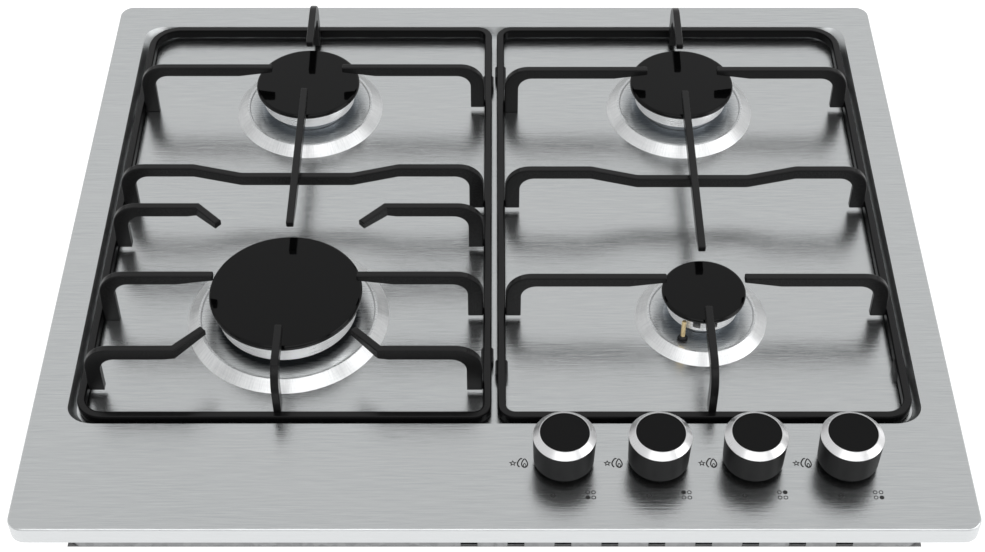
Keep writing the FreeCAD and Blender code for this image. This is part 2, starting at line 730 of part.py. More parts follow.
node(cups["auxiliary"], "burner_cup_auxiliary")
node(group("CupGroup", [cups["semi_left"], cups["semi_right"]]), "burner_cups_semi_rapid")
node(group("InjectorGroup", injectors), "injectors")

for nm, cx, cy, rr, rh, rc, zf, ct, ports in BURNERS:
    ro = rh - 6.5
    ri = ro - 2.2
    zt = D("cap_top") - ct
    hw = D("head_wall")
    h = body("Head_" + nm, cx, cy, 0)
    sp = ri - 0.5                      # spigot that locates the head in the cup
    sk = poly(h, "head_profile_" + nm, "XZ_Plane", [[
        (dim(6.5), zf - 8), (dim(8.5), zf - 8), (dim(8.5), zf), (sp - 1.8, zf), (sp - 1.8, zf - 4), (sp, zf - 4),
        (sp, zf), (rh - 0.8, zf), (rh, zf + 0.8), (rh, zt), (rh - hw, zt), (rh - hw, zf + 2.6), (dim(10.0), zf + 2.6),
        (dim(8.0), zf + 5.0), (dim(6.5), zf + 5.0)]])
    revolve(h, sk)
    # flame ports: slots in the crown just below the cap
    sk = poly(h, "port_" + nm, "YZ_Plane", [rect(-(D("port_width") / 2), zt - D("port_sink"), D("port_width") / 2, zt + 1)],
              rh - hw - 1)
    slot = pocket(h, sk, hw + 3, rev=True)
    pat = h.newObject("PartDesign::PolarPattern", "ports_" + nm)
    pat.Originals = [slot]
    pat.Axis = (h.Origin.OriginFeatures[2], [""])
    pat.Angle = 360.0
    pat.Occurrences = ports
    h.Tip = pat
    doc.recompute()
    if nm == "auxiliary":
        # two square notches in the crown at the front
        for k, a in enumerate((-5.6, 5.2)):
            sk = poly(h, "front_notch_%d" % (k + 1), "XZ_Plane",
                      [rect(dim(a - 2.4), zt - 8.6, dim(a + 2.4), zt + 1)], rh - 5)
            pocket(h, sk, dim(10.0), rev=True)
    node(h, "burner_head_" + nm)

for nm, cx, cy, rr, rh, rc, zf, ct, ports in BURNERS:
    zt = D("cap_top") - ct
    hw = D("head_wall")
    c = body("Cap_" + nm, cx, cy, 0)
    lr = rh - hw - 0.6
    sk = poly(c, "cap_profile_" + nm, "XZ_Plane", [[
        (dim(0.0), zt), (lr - 1.8, zt), (lr - 1.8, zt - 2.4), (lr, zt - 2.4), (lr, zt), (rc, zt), (rc, D("cap_top")),
        (dim(0.0), D("cap_top"))]])
    revolve(c, sk)
    fillet(c, "cap_edge_top_" + nm, lambda e: circle_at(e, rc.v, D("cap_top").v), 1.5)
    fillet(c, "cap_edge_low_" + nm, lambda e: circle_at(e, rc.v, zt.v), 0.8)
    node(c, "burner_cap_" + nm)

# ============================================================ pipes and leads
def path_wire(points, radii):
    """Straight runs joined by tangent arcs."""
    pts = [FreeCAD.Vector(*p) for p in points]
    edges = []
    start = pts[0]
    for i in range(1, len(pts) - 1):
        p, q, r = pts[i - 1], pts[i], pts[i + 1]
        a = (p - q).normalize()
        c = (r - q).normalize()
        ang = a.getAngle(c)
        rad = radii if not isinstance(radii, (list, tuple)) else radii[i - 1]
        back = rad / math.tan(ang / 2)
        t1 = q + a * back
        t2 = q + c * back
        bis = (a + c).normalize()
        mid = q + bis * (rad / math.sin(ang / 2) - rad)
        edges.append(Part.LineSegment(start, t1).toShape())
        edges.append(Part.Arc(t1, mid, t2).toShape())
        start = t2
    edges.append(Part.LineSegment(start, pts[-1]).toShape())
    return Part.Wire(edges)


def tube_shape(points, rad, outer, inner=0.0):
    w = path_wire(points, rad)
    d = (FreeCAD.Vector(*points[1]) - FreeCAD.Vector(*points[0])).normalize()
    p0 = FreeCAD.Vector(*points[0])

    def sweep(r):
        prof = Part.Wire([Part.Circle(p0, d, r).toShape()])
        s = w.makePipeShell([prof], True, False)
        want = math.pi * r * r * w.Length
        if abs(s.Volume - want) > 0.02 * want:
            raise RuntimeError("tube volume is off")
        return s

    s = sweep(outer)
    if inner > 0:
        s = s.cut(sweep(inner))
    return s


def shaped(name, shape):
    o = doc.addObject("Part::Feature", name)
    o.Shape = shape
    return o

# ================================================== flame sensors and igniters
sensors, insulators, pins = [], [], []
for nm, cx, cy, rr, rh, rc, zf, ct, ports in BURNERS:
    dl = D("dish_level")
    x, y = polar(cx, cy, rh + SENSOR_GAP, SENSOR_ANGLE[nm])
    b = body("Sensor_" + nm, x, y, 0)
    sk = poly(b, "sensor_profile_" + nm, "XZ_Plane", [[
        (dim(0.0), dim(33.0)), (dim(1.5), dim(33.0)), (dim(1.5), dl - T - 5), (dim(2.5), dl - T - 5), (dim(2.5), dl + 1.0),
        (dim(3.35), dl + 1.0), (dim(3.35), dl + 2.2), (dim(2.5), dl + 2.2), (dim(2.5), dl + 4.0), (dim(1.5), dl + 4.6),
        (dim(1.5), dim(59.6)), (dim(1.1), dim(60.2)), (dim(0.0), dim(60.2))]])
    revolve(b, sk)
    sensors.append(b)
    x, y = polar(cx, cy, rh + IGNITER_GAP, IGNITER_ANGLE[nm])
    b = body("Insulator_" + nm, x, y, 0)
    sk = poly(b, "insulator_profile_" + nm, "XZ_Plane", [[
        (dim(1.1), dim(28.0)), (dim(2.4), dim(28.0)), (dim(2.4), dl - T - 4), (dim(2.5), dl - T - 4), (dim(2.5), dl + 1.4),
        (dim(2.4), dl + 1.5), (dim(2.4), dim(51.0)), (dim(1.8), dim(52.0)), (dim(1.1), dim(52.0))]])
    revolve(b, sk)
    insulators.append(b)
    pins.append(cyl("igniter_pin_" + nm, x, y, dim(26.0), 1.0, dim(31.0)))


def spot(nm, gap, deg):
    for b in BURNERS:
        if b[0] == nm:
            x, y = polar(b[1], b[2], b[4] + gap, deg)
            return x.v, y.v


# each sensor's thin lead runs to the safety magnet of its own tap
LZ = 27.6
WAYS = {"rapid": (0, []),
        "semi_left": (1, [(-34.0, 150.0, LZ), (-34.0, 0.0, LZ)]),
        "semi_right": (2, [(90.0, 150.0, LZ), (90.0, -20.0, LZ)]),
        "auxiliary": (3, [])}
for nm, (k, via) in WAYS.items():
    x, y = spot(nm, SENSOR_GAP, SENSOR_ANGLE[nm])
    mx = TAPS[k].v - 20
    pts = [(x, y, 30.2), (x, y, LZ)] + via + [(mx - 6, -171.0, LZ), (mx - 6, TY.v, 12.0), (mx, TY.v, 12.0)]
    pts[0] = (x, y, 33.0)
    sensors.append(shaped("sensor_lead_" + nm, tube_shape(pts, 3.0, 0.9)))
node(group("SensorGroup", sensors), "flame_sensors")
node(group("InsulatorGroup", insulators), "igniter_insulators")
node(group("PinGroup", pins), "igniter_pins")

# ===================================================================== taps
tap_bodies, bonnets, switches, seals = [], [], [], []
SR = D("spindle_radius")
for i, tx in enumerate(TAPS):
    n = "tap_%d" % (i + 1)
    case = box(n + "_case", tx - 12, TY - 16.8, dim(5.0), tx + 12, TY + 13, dim(22.0))
    neck = cyl(n + "_neck", tx, TY, dim(22.0), 11.5, dim(12.0))
    outlet = cyl(n + "_outlet", tx, TY + 13, PL, 6.0, dim(4.0), ROT_Y)
    bore = cone(n + "_bore", tx, TY, dim(8.0), 5.5, 7.0, dim(14.0))
    chamber = cyl(n + "_chamber", tx, TY, dim(22.0), 8.6, dim(13.0))
    gallery = cyl(n + "_gallery", tx, TY - 18, D("rail_axis_z"), 2.2, dim(14.0), ROT_Y)
    way_out = cyl(n + "_way_out", tx, TY + 4, PL, 2.4, dim(14.0), ROT_Y)
    magnet = cyl(n + "_magnet", tx - 20, TY, dim(12.0), 5.0, dim(8.0), ROT_X)
    tap_bodies.append(cut(n + "_body", fuse(n + "_blank", [case, neck, outlet, magnet]), [bore, chamber, gallery, way_out]))
    bp = box(n + "_bonnet_plate", tx - 13, TY - 11.5, dim(34.0), tx + 13, TY + 11.5, dim(36.2))
    bs = cyl(n + "_bonnet_bore", tx, TY, dim(33.0), SR + 0.08, dim(5.0))
    bonnets.append(cut(n + "_bonnet", bp, [bs]))
    sw = box(n + "_switch_case", tx - 11, TY - 11, dim(36.4), tx + 17, TY + 11, dim(41.2))
    swb = cyl(n + "_switch_bore", tx, TY, dim(35.0), 6.0, dim(8.0))
    switches.append(cut(n + "_switch", sw, [swb]))
    b = body("SpindleSeal_%d" % (i + 1), tx, TY, 0)
    sk = poly(b, "seal_profile_%d" % (i + 1), "XZ_Plane", [[
        (SR + 0.6, TOP - T - 1), (dim(9.0), TOP - T - 1), (dim(9.0), TOP - T), (dim(6.9), TOP - T), (dim(6.9), TOP),
        (dim(9.0), TOP), (dim(8.4), TOP + 1), (SR + 0.6, TOP + 1)]])
    revolve(b, sk)
    seals.append(b)
node(group("TapGroup", tap_bodies), "tap_bodies")
node(group("BonnetGroup", bonnets), "tap_bonnets")
node(group("SwitchGroup", switches), "ignition_switches")
node(group("SpindleSealGroup", seals), "spindle_seals")

PLUG_TOP = 24.3
COLLAR = 31.0
for i, tx in enumerate(TAPS):
    k = i + 1
    # rotating plug in its tapered seat
    pc = cone("plug_%d_cone" % k, tx, TY, dim(8.4), 5.46, 6.92, dim(13.6))
    pn = cyl("plug_%d_neck" % k, tx, TY, dim(22.0), 6.5, dim(0.6))
    pd = cyl("plug_%d_disc" % k, tx, TY, dim(22.4), 8.1, dim(PLUG_TOP - 22.4))
    sock = box("plug_%d_socket" % k, tx - 2.8, TY - 2.8, dim(16.6), tx + 2.8, TY + 2.8, dim(26.0))
    port = cyl("plug_%d_port" % k, tx, TY - 9, PL - 1, 1.6, dim(18.0), ROT_Y)
    node(cut("plug_%d" % k, fuse("plug_%d_blank" % k, [pc, pn, pd]), [sock, port]), "tap_plug_%d" % k)

    # return spring, round the square end of the spindle
    wire = 0.45
    mean = 5.3
    low = PLUG_TOP + wire + 0.05
    high = COLLAR - wire - 0.05
    turns = 4.0
    helix = doc.addObject("Part::Helix", "spring_%d_path" % k)
    helix.Pitch = (high - low) / turns
    helix.Height = high - low
    helix.Radius = mean
    place(helix, tx, TY, dim(low))
    ring = doc.addObject("Part::RegularPolygon", "spring_%d_section" % k)
    ring.Polygon = 8
    ring.Circumradius = wire
    place(ring, tx + mean, TY, dim(low), FreeCAD.Rotation(FreeCAD.Vector(1, 0, 0), 90))
    sw = doc.addObject("Part::Sweep", "spring_%d" % k)
    sw.Sections = [ring]
    sw.Spine = (helix, ["Edge1"])
    sw.Solid = True
    sw.Frenet = True
    node(sw, "tap_spring_%d" % k)

    # spindle: square driving end, spring collar and round shaft with a flat
    sq = box("spindle_%d_square" % k, tx - 2.5, TY - 2.5, dim(20.4), tx + 2.5, TY + 2.5, dim(28.4))
    sh = cyl("spindle_%d_low" % k, tx, TY, dim(27.5), 3.4, dim(4.5))
    co = cyl("spindle_%d_collar" % k, tx, TY, dim(COLLAR), 6.9, dim(1.8))
    up = cyl("spindle_%d_shaft" % k, tx, TY, dim(COLLAR + 1), SR, D("knob_top") - 9.2 - (COLLAR + 1))
    flat = box("spindle_%d_flat" % k, tx - 6, TY + SR - 1.2, dim(52.0), tx + 6, TY + 8, dim(66.0))
    node(cut("spindle_%d" % k, fuse("spindle_%d_blank" % k, [sq, sh, co, up]), [flat]), "tap_spindle_%d" % k)

    # knob moulding: skirt, crown and hub
    b = body("Knob_%d" % k, tx, TY, 0)
    kr = D("knob_radius")
    kf = D("knob_foot")
    kt = D("knob_top")
    dr = D("knob_disc_radius")
    rf = D("ring_foot")
    sk = poly(b, "knob_profile_%d" % k, "XZ_Plane", [[
        (kr - 2.2, kf), (kr - 1.5, kf), (kr - 0.6, kf + 1.0), (kr, rf - 0.5), (kr - 1.7, rf - 0.5), (dr - 0.45, kt - 1.2),
        (dr - 0.45, kt - 0.25), (dim(0.0), kt - 0.25), (dim(0.0), kt - 8.9), (SR + 0.05, kt - 8.9), (SR + 0.05, kf + 1.7),
        (dim(6.8), kf + 1.7), (dim(7.2), kt - 5.4), (kr - 2.6, kt - 5.4)]])
    revolve(b, sk)
    node(b, "knob_%d" % k)

    # bright bevelled ring round the crown
    b = body("KnobRing_%d" % k, tx, TY, 0)
    sk = poly(b, "ring_profile_%d" % k, "XZ_Plane", [[
        (kr, rf - 0.45), (kr + 0.0, rf), (dr, kt), (dr - 0.4, kt), (dr - 0.4, kt - 1.15), (kr - 1.65, rf - 0.45)]])
    revolve(b, sk)
    node(b, "knob_ring_%d" % k)


# ====================================================== gas pipes and wiring
zp = VALUE["pipe_level"]
ty = VALUE["tap_y"]
tx = [VALUE["tap_first"] + VALUE["tap_pitch"] * i for i in range(4)]
pr = VALUE["pipe_radius"]


def route(i, mid, bx, by):
    return [(tx[i], ty + 17.2, zp)] + mid + [(bx, by - 20.2, zp)]


ROUTES = [
    route(0, [(tx[0], ty + 50, zp), (VALUE["rapid_x"], VALUE["rapid_y"] - 62, zp)], VALUE["rapid_x"], VALUE["rapid_y"]),
    route(1, [(tx[1], ty + 50, zp), (0.0, -104.0, zp), (0.0, 66.0, zp), (VALUE["semi_left_x"], 88.0, zp)],
          VALUE["semi_left_x"], VALUE["semi_left_y"]),
    route(2, [(tx[2], ty + 40, zp), (62.0, -112.0, zp), (62.0, 70.0, zp), (VALUE["semi_right_x"], 88.0, zp)],
          VALUE["semi_right_x"], VALUE["semi_right_y"]),
    route(3, [(tx[3], ty + 56, zp), (VALUE["aux_x"], VALUE["aux_y"] - 48, zp)], VALUE["aux_x"], VALUE["aux_y"]),
]
pipes, nuts = [], []
for i, pts in enumerate(ROUTES):
    pipes.append(shaped("feed_pipe_%d" % (i + 1), tube_shape(pts, 12.0, pr, pr - 1.0)))
    for k, (p, off) in enumerate(((pts[0], 0.0), (pts[-1], -9.0))):
        nx = prism("nut_%d_%d" % (i + 1, k + 1), dim(p[0]), dim(p[1] + off), dim(zp), 8.0, dim(9.0), ROT_Y)
        nb = cyl("nut_bore_%d_%d" % (i + 1, k + 1), dim(p[0]), dim(p[1] + off - 1), dim(zp), D("pipe_radius") + 0.05,
                 dim(11.0), ROT_Y)
        nuts.append(cut("pipe_nut_%d_%d" % (i + 1, k + 1), nx, [nb]))
node(group("PipeGroup", pipes), "feed_pipes")
node(group("NutGroup", nuts), "pipe_nuts")

# gas rail: square tube in front of the taps, with the pipe back to the inlet
ry, rz = D("rail_axis_y"), D("rail_axis_z")
rail_out = box("rail_outside", dim(22.0), ry - 6, rz - 7, D("inlet_x") + 7, ry + 6.2, rz + 7)
rail_in = box("rail_inside", dim(23.5), ry - 4.5, rz - 5.5, D("inlet_x") + 5.5, ry + 4.7, rz + 5.5)
rail_ports = [cyl("rail_port_%d" % (i + 1), x, ry + 3, rz, 2.2, dim(8.0), ROT_Y) for i, x in enumerate(TAPS)]
ix, iy = VALUE["inlet_x"], VALUE["inlet_y"]
ryv, rzv = VALUE["rail_axis_y"], VALUE["rail_axis_z"]
back = shaped("inlet_pipe", tube_shape([(ix, ryv + 6.0, rzv), (ix, -180.0, rzv), (ix, -140.0, INLET_Z),
                                        (ix, iy - 16.0, INLET_Z)], 14.0, 5.5, 4.0))
port_back = cyl("rail_port_back", D("inlet_x"), ry + 3, rz, 4.0, dim(8.0), ROT_Y)
rail_tube = cut("rail_tube", rail_out, [rail_in] + rail_ports + [port_back])
rail_feet = [box("rail_foot_%d" % (k + 1), dim(x), ry - 5, PG, dim(x + 10), ry + 5, rz - 7)
             for k, x in enumerate((28.0, 222.0))]
node(fuse("rail_and_pipe", [rail_tube, back] + rail_feet), "gas_rail")

# inlet elbow in the rear right notch; its thread points down
ex, ey = D("inlet_x"), D("inlet_y")
elbow = fuse("elbow_blank", [
    box("elbow_barrel", ex - 12, ey - 12, dim(16.0), ex + 12, ey + 12, dim(34.0)),
    cyl("elbow_arm", ex, ey - 23.5, dim(INLET_Z), 7.4, dim(12.5), ROT_Y),
    cyl("elbow_thread", ex, ey, dim(2.5), D("thread_radius"), dim(14.0)),
    prism("elbow_hex", ex, ey - 23.5, dim(INLET_Z), 9.4, dim(7.0), ROT_Y)])
node(cut("elbow", elbow, [
    cyl("elbow_bore_down", ex, ey, dim(1.0), 7.0, dim(28.5)),
    cyl("elbow_socket", ex, ey - 25, dim(INLET_Z), 5.6, dim(9.5), ROT_Y),
    cyl("elbow_bore_back", ex, ey - 16, dim(INLET_Z), 4.0, dim(12.7), ROT_Y)]), "inlet_elbow")

# ignition unit, its leads, and the mains terminals
mod = box("module_case", dim(-38.0), dim(166.0), PG, dim(38.0), dim(204.0), dim(21.0))
mod_feet = [box("module_ear_1", dim(-46.0), dim(178.0), PG, dim(-37.0), dim(192.0), PG + 2.5),
            box("module_ear_2", dim(37.0), dim(178.0), PG, dim(46.0), dim(192.0), PG + 2.5)]
mod_ports = [cyl("module_port_1", dim(-24.0), dim(161.0), dim(14.0), 3.2, dim(6.0), ROT_Y),
             cyl("module_port_2", dim(-8.0), dim(161.0), dim(14.0), 3.2, dim(6.0), ROT_Y),
             cyl("module_port_3", dim(8.0), dim(161.0), dim(14.0), 3.2, dim(6.0), ROT_Y),
             cyl("module_port_4", dim(24.0), dim(161.0), dim(14.0), 3.2, dim(6.0), ROT_Y)]
node(fuse("module", [mod] + mod_feet + mod_ports), "ignition_unit")

LEAD = 1.5
leads = []


def igniter_xy(nm):
    return spot(nm, IGNITER_GAP, IGNITER_ANGLE[nm])


lx, ly = igniter_xy("semi_left")
leads.append([(-24.0, 161.0, 14.0), (-24.0, 149.0, 14.0), (-62.0, 160.0, 24.0), (-104.0, 196.0, 24.0), (lx, 188.0, 19.0),
              (lx, ly, 19.0), (lx, ly, 26.0)])
lx, ly = igniter_xy("rapid")
leads.append([(-8.0, 161.0, 14.0), (-8.0, 148.0, 14.0), (-20.0, 124.0, 24.0), (-20.0, 0.0, 24.0), (lx, -6.0, 19.0),
              (lx, ly, 19.0), (lx, ly, 26.0)])
lx, ly = igniter_xy("auxiliary")
leads.append([(8.0, 161.0, 14.0), (8.0, 148.0, 14.0), (24.0, 124.0, 24.0), (24.0, 0.0, 24.0), (88.0, -8.0, 24.0),
              (lx, -24.0, 19.0), (lx, ly, 19.0), (lx, ly, 26.0)])
lx, ly = igniter_xy("semi_right")
leads.append([(24.0, 161.0, 14.0), (24.0, 149.0, 14.0), (52.0, 160.0, 24.0), (84.0, 196.0, 24.0), (136.0, 196.0, 24.0),
              (lx, 184.0, 19.0), (lx, ly, 19.0), (lx, ly, 26.0)])
node(group("LeadGroup", [shaped("spark_lead_%d" % (i + 1), tube_shape(p, 4.0, LEAD)) for i, p in enumerate(leads)]),
     "spark_leads")

harness = [
    [(TAPS[3].v + 14, TY.v + 14, 38.6), (26.0, TY.v + 14, 38.6), (16.0, -170.0, 31.0), (16.0, 138.0, 31.0),
     (16.0, 154.0, 18.0), (16.0, 166.0, 18.0)],
    [(-204.0, 188.0, 10.0), (-38.0, 188.0, 10.0)]]
wires = [shaped("switch_wire", tube_shape(harness[0], 4.0, 1.2)),
         cyl("mains_wire", dim(-204.0), dim(188.0), dim(10.0), 2.0, dim(166.0), ROT_X)]
for i, x in enumerate(TAPS):
    wires.append(box("switch_plug_%d" % (i + 1), x - 4, TY + 11, dim(37.0), x + 4, TY + 12.6, dim(40.4)))
node(group("WireGroup", wires), "wiring")

term = box("terminal_case", dim(-250.0), dim(176.0), PG, dim(-204.0), dim(200.0), dim(20.0))
ways = []
for i in range(3):
    ways.append(cyl("terminal_well_%d" % (i + 1), dim(-242.0 + 15.0 * i), dim(188.0), dim(12.0), 4.0, dim(10.0)))
    ways.append(cyl("terminal_way_%d" % (i + 1), dim(-242.0 + 15.0 * i), dim(174.0), dim(9.0), 2.2, dim(30.0), ROT_Y))
node(cut("terminal", term, ways), "terminal_block")

g = body("Grommet", dim(GROM_X), PR, dim(GROM_Z))
sk = poly(g, "grommet_profile", "XY_Plane", [[
    (dim(4.0), dim(-3.0)), (dim(8.0), dim(-3.0)), (dim(8.0), -PG), (dim(6.4), -PG), (dim(6.4), dim(0.0)),
    (dim(8.6), dim(0.0)), (dim(7.2), dim(3.0)), (dim(4.0), dim(3.0))]])
revolve(g, sk)
node(g, "cable_grommet")

# ==================================================================== grates
BB, BT = D("bar_bottom"), D("bar_top")
BW = D("bar_width")
FW, FD = D("finger_width"), D("finger_depth")
LW = D("leg_width")
LEG, LEG_LOW = D("leg_foot"), D("leg_foot_low")


def frame(tag, x0, x1, radii):
    """Closed bar frame.  radii: front left, front right, rear right, rear left."""
    y0, y1 = D("grate_front"), D("grate_rear")
    b = body("GrateFrame_" + tag)
    sk = poly(b, "frame_outline_" + tag, "XY_Plane", [rect(x0, y0, x1, y1), rect(x0 + BW, y0 + BW, x1 - BW, y1 - BW)], BB)
    pad(b, sk, BT - BB)
    corners = [(x0, y0), (x1, y0), (x1, y1), (x0, y1)]
    inner = [(x0 + BW, y0 + BW), (x1 - BW, y0 + BW), (x1 - BW, y1 - BW), (x0 + BW, y1 - BW)]
    for k in range(4):
        for which, pt, r in (("in", inner[k], radii[k] - BW.v), ("out", corners[k], radii[k])):
            fillet(b, "frame_%s_%s_%d" % (tag, which, k + 1),
                   lambda e: vertical(e) and abs(e.Vertexes[0].Point.x - val(pt[0])) < 1e-3
                   and abs(e.Vertexes[0].Point.y - val(pt[1])) < 1e-3, r)
    fillet(b, "frame_%s_top" % tag, lambda e: at(e, "z", BT.v), 1.2)
    fillet(b, "frame_%s_low" % tag, lambda e: at(e, "z", BB.v), 0.8)
    return b


def finger(name, kind, root, tip, line, top, bend=None, leg_w=None, taper=None, foot_z=None):
    """One pan support.

    kind "x": the finger runs along X at Y = line, from the frame face at X = root to X = tip.
    kind "y": it runs along Y at X = line, from the frame face at Y = root to Y = tip.
    bend: for a cranked finger, (x of the crank, y shift of the tip).
    """
    s = 1.0 if val(tip) > val(root) else -1.0
    h = FW / 2
    low = LEG if foot_z is None else foot_z
    lw = LW if leg_w is None else leg_w
    tr = D("taper_run") if taper is None else taper
    b = body(name)
    under = top - FD
    a = root                       # back of the leg
    tipx = tip
    if kind == "x":
        plan_role, side_role = "XY_Plane", "XZ_Plane"
        if bend is None:
            pts = [(a, line - h), (tipx, line - h), (tipx, line + h), (a, line + h)]
        else:
            bx, dy = bend
            q = 1.0 if dy > 0 else -1.0
            run = abs(dy)
            # mitred crank at 45 degrees, bar width kept
            m = h * math.tan(math.radians(22.5))
            e = h * math.sin(math.radians(45.0))
            tx_, ty_ = bx + s * run, line + dy
            pts = [(a, line - q * h), (bx + s * m, line - q * h), (tx_ + s * e, ty_ - q * e),
                   (tx_ - s * e, ty_ + q * e), (bx - s * m, line + q * h), (a, line + q * h)]
    else:
        plan_role, side_role = "XY_Plane", "YZ_Plane"
        pts = [(line - h, a), (line + h, a), (line + h, tipx), (line - h, tipx)]
    sk = poly(b, name + "_plan", plan_role, [pts], low)
    pad(b, sk, top - low)
    # space under the arm
    leg = a + s * lw
    far = tipx + s * 40
    end = tipx
    under_pts = [(leg, low - 1), (leg, under), (end - s * tr, under), (end, top - D("tip_depth")),
                 (far, top - D("tip_depth")), (far, low - 1)]
    sk = poly(b, name + "_under", side_role, [under_pts], -line if kind == "x" else line)
    pocket(b, sk, dim(90.0), midplane=True)
    ax = "x" if kind == "x" else "y"
    cross = "y" if kind == "x" else "x"

    def along_width(e, c, z):
        if not is_line(e):
            return False
        bb = e.BoundBox
        lo = {"x": (bb.XMin, bb.XMax), "y": (bb.YMin, bb.YMax)}[ax]
        return abs(lo[0] - c) < 1e-3 and abs(lo[1] - c) < 1e-3 and abs(bb.ZMin - z) < 1e-3 and abs(bb.ZMax - z) < 1e-3

    fillet(b, name + "_bend_out", lambda e: along_width(e, val(a), val(top)), D("bend_outer"))
    fillet(b, name + "_bend_in", lambda e: along_width(e, val(leg), val(under)), D("bend_inner"))
    soften(b, name, top, low)
    return b


def soften(b, name, top, low):
    """Round the long edges of an enamelled bar; where the underside is too tight, the top edges only."""
    doc.recompute()
    base = b.Tip

    def every(e):
        return e.Length > 2.6 and e.BoundBox.ZMax > val(low) + 0.5

    def upper(e):
        return at(e, "z", val(top), 1e-3)

    for step, (test, r) in enumerate(((every, 0.9), (every, 0.6), (upper, 0.9), (upper, 0.5))):
        names = pick(b, test)
        f = b.newObject("PartDesign::Fillet", "%s_soft_%d" % (name, step))
        f.Base = (base, names)
        f.Radius = r
        b.Tip = f
        doc.recompute()
        if "Invalid" not in f.State and not f.Shape.isNull() and f.Shape.isValid() and f.Shape.Solids:
            print(name, "softened at step", step)
            return
        b.removeObject(f)
        doc.removeObject(f.Name)
        b.Tip = base
        doc.recompute()
    raise RuntimeError("rounding failed: " + name)


def long_finger(name, x, y0, y1, top):
    h = FW / 2
    b = body(name)
    tr = D("taper_run")
    low = top - D("tip_depth")
    sk = poly(b, name + "_side", "YZ_Plane", [[
        (y0, top), (y0, low), (y0 + tr, top - FD), (y1 - tr, top - FD), (y1, low), (y1, top)]], x)
    pad(b, sk, FW, midplane=True)
    soften(b, name, top, BB)
    return b


def cross_bar(name, x0, x1, xm, top):
    """Bridge bar that dips under the long finger."""
    b = body(name)
    y = D("cross_bar_y")
    u = top - FD
    pts = [(x0, LEG), (x0 + LW, LEG), (x0 + LW, u), (xm - 70, u), (xm - 38, u - FD), (xm + 38, u - FD), (xm + 70, u),
           (x1 - LW, u), (x1 - LW, LEG), (x1, LEG), (x1, top), (xm + 70, top), (xm + 38, u), (xm - 38, u), (xm - 70, top),
           (x0, top)]
    sk = poly(b, name + "_side", "XZ_Plane", [pts], -y)
    pad(b, sk, FW, midplane=True)

    def corner(e, c, z):
        return is_line(e) and at(e, "x", val(c), 1e-3) and at(e, "z", val(z), 1e-3)

    fillet(b, name + "_bend_out", lambda e: corner(e, x0, top) or corner(e, x1, top), D("bend_outer"))
    fillet(b, name + "_bend_in", lambda e: corner(e, x0 + LW, u) or corner(e, x1 - LW, u), D("bend_inner"))
    fillet(b, name + "_knees", lambda e: corner(e, xm - 70, top) or corner(e, xm + 70, top) or corner(e, xm - 38, u)
           or corner(e, xm + 38, u) or corner(e, xm - 70, u) or corner(e, xm + 70, u)
           or corner(e, xm - 38, u - FD) or corner(e, xm + 38, u - FD), 8.0)
    soften(b, name, top, LEG)
    return b


def foot(name, x, y, out):
    """Rubber shoe gripping a frame bar that runs along Y.  out: side of the recess wall, 0 for none."""
    x0 = x - (3.3 if out < 0 else 4.0)
    x1 = x + (3.3 if out > 0 else 4.0)
    b = body(name)
    sk = poly(b, name + "_plan", "XY_Plane", [rect(x0, y - 6.7, x1, y + 6.7)], FLOOR)
    pad(b, sk, dim(44.8) - FLOOR)
    fillet(b, name + "_ends", vertical, 2.6)
    slot = box(name + "_slot", x - BW / 2, y - 7.5, BB, x + BW / 2, y + 7.5, dim(46.0))
    return cut(name + "_shoe", b, [slot])


GO, GI = D("grate_outer"), D("grate_inner")
GF, GR = D("grate_front"), D("grate_rear")
LT, RT = D("left_grate_top"), D("right_grate_top")

node(frame("left", -GO, -GI, (17.0, 11.5, 11.5, 22.0)), "grate_left_frame")
lo, li = -GO + BW, -GI - BW          # inner faces of the frame's long bars
fr, re = GF + BW, GR - BW
RX, RY = D("rapid_x"), D("rapid_y")
SX, SY = D("semi_left_x"), D("semi_left_y")
fingers = [
    finger("fl_rear_out", "x", lo, SX - 25, SY, LT, foot_z=LEG_LOW),
    finger("fl_rear_in", "x", li, SX + 25.4, SY, LT),
    finger("fl_rear_back", "y", re, SY + 27, SX, LT, leg_w=dim(13.0)),
    long_finger("fl_long", SX, RY + 47, SY - 24.2, LT),
    cross_bar("fl_cross", lo, li, SX, LT),
    finger("fl_side_out", "x", lo, RX - 45.7, RY, LT, foot_z=LEG_LOW),
    finger("fl_side_in", "x", li, RX + 46.7, RY, LT),
    finger("fl_front", "y", fr, RY - 44, RX, LT, taper=dim(14.0)),
    finger("fl_diag_rear_out", "x", lo, RX - 46, dim(-10.5), LT, bend=(RX - 63.0, -15.5)),
    finger("fl_diag_rear_in", "x", li, RX + 46, dim(-10.5), LT, bend=(RX + 63.0, -15.5)),
    finger("fl_diag_front_out", "x", lo, RX - 46, dim(-138.0), LT, bend=(RX - 64.0, 17.0)),
    finger("fl_diag_front_in", "x", li, RX + 46, dim(-138.0), LT, bend=(RX + 64.0, 17.0)),
]
node(group("LeftFingers", fingers), "grate_left_fingers")
bc_out, bc_in = -GO + BW / 2, -GI - BW / 2
node(group("LeftFeet", [foot("lf_foot_1", bc_out, dim(-118.0), -1), foot("lf_foot_2", bc_in, dim(-112.5), 0),
                        foot("lf_foot_3", bc_out, dim(164.0), -1), foot("lf_foot_4", bc_in, dim(159.0), 0)]), "grate_left_feet")

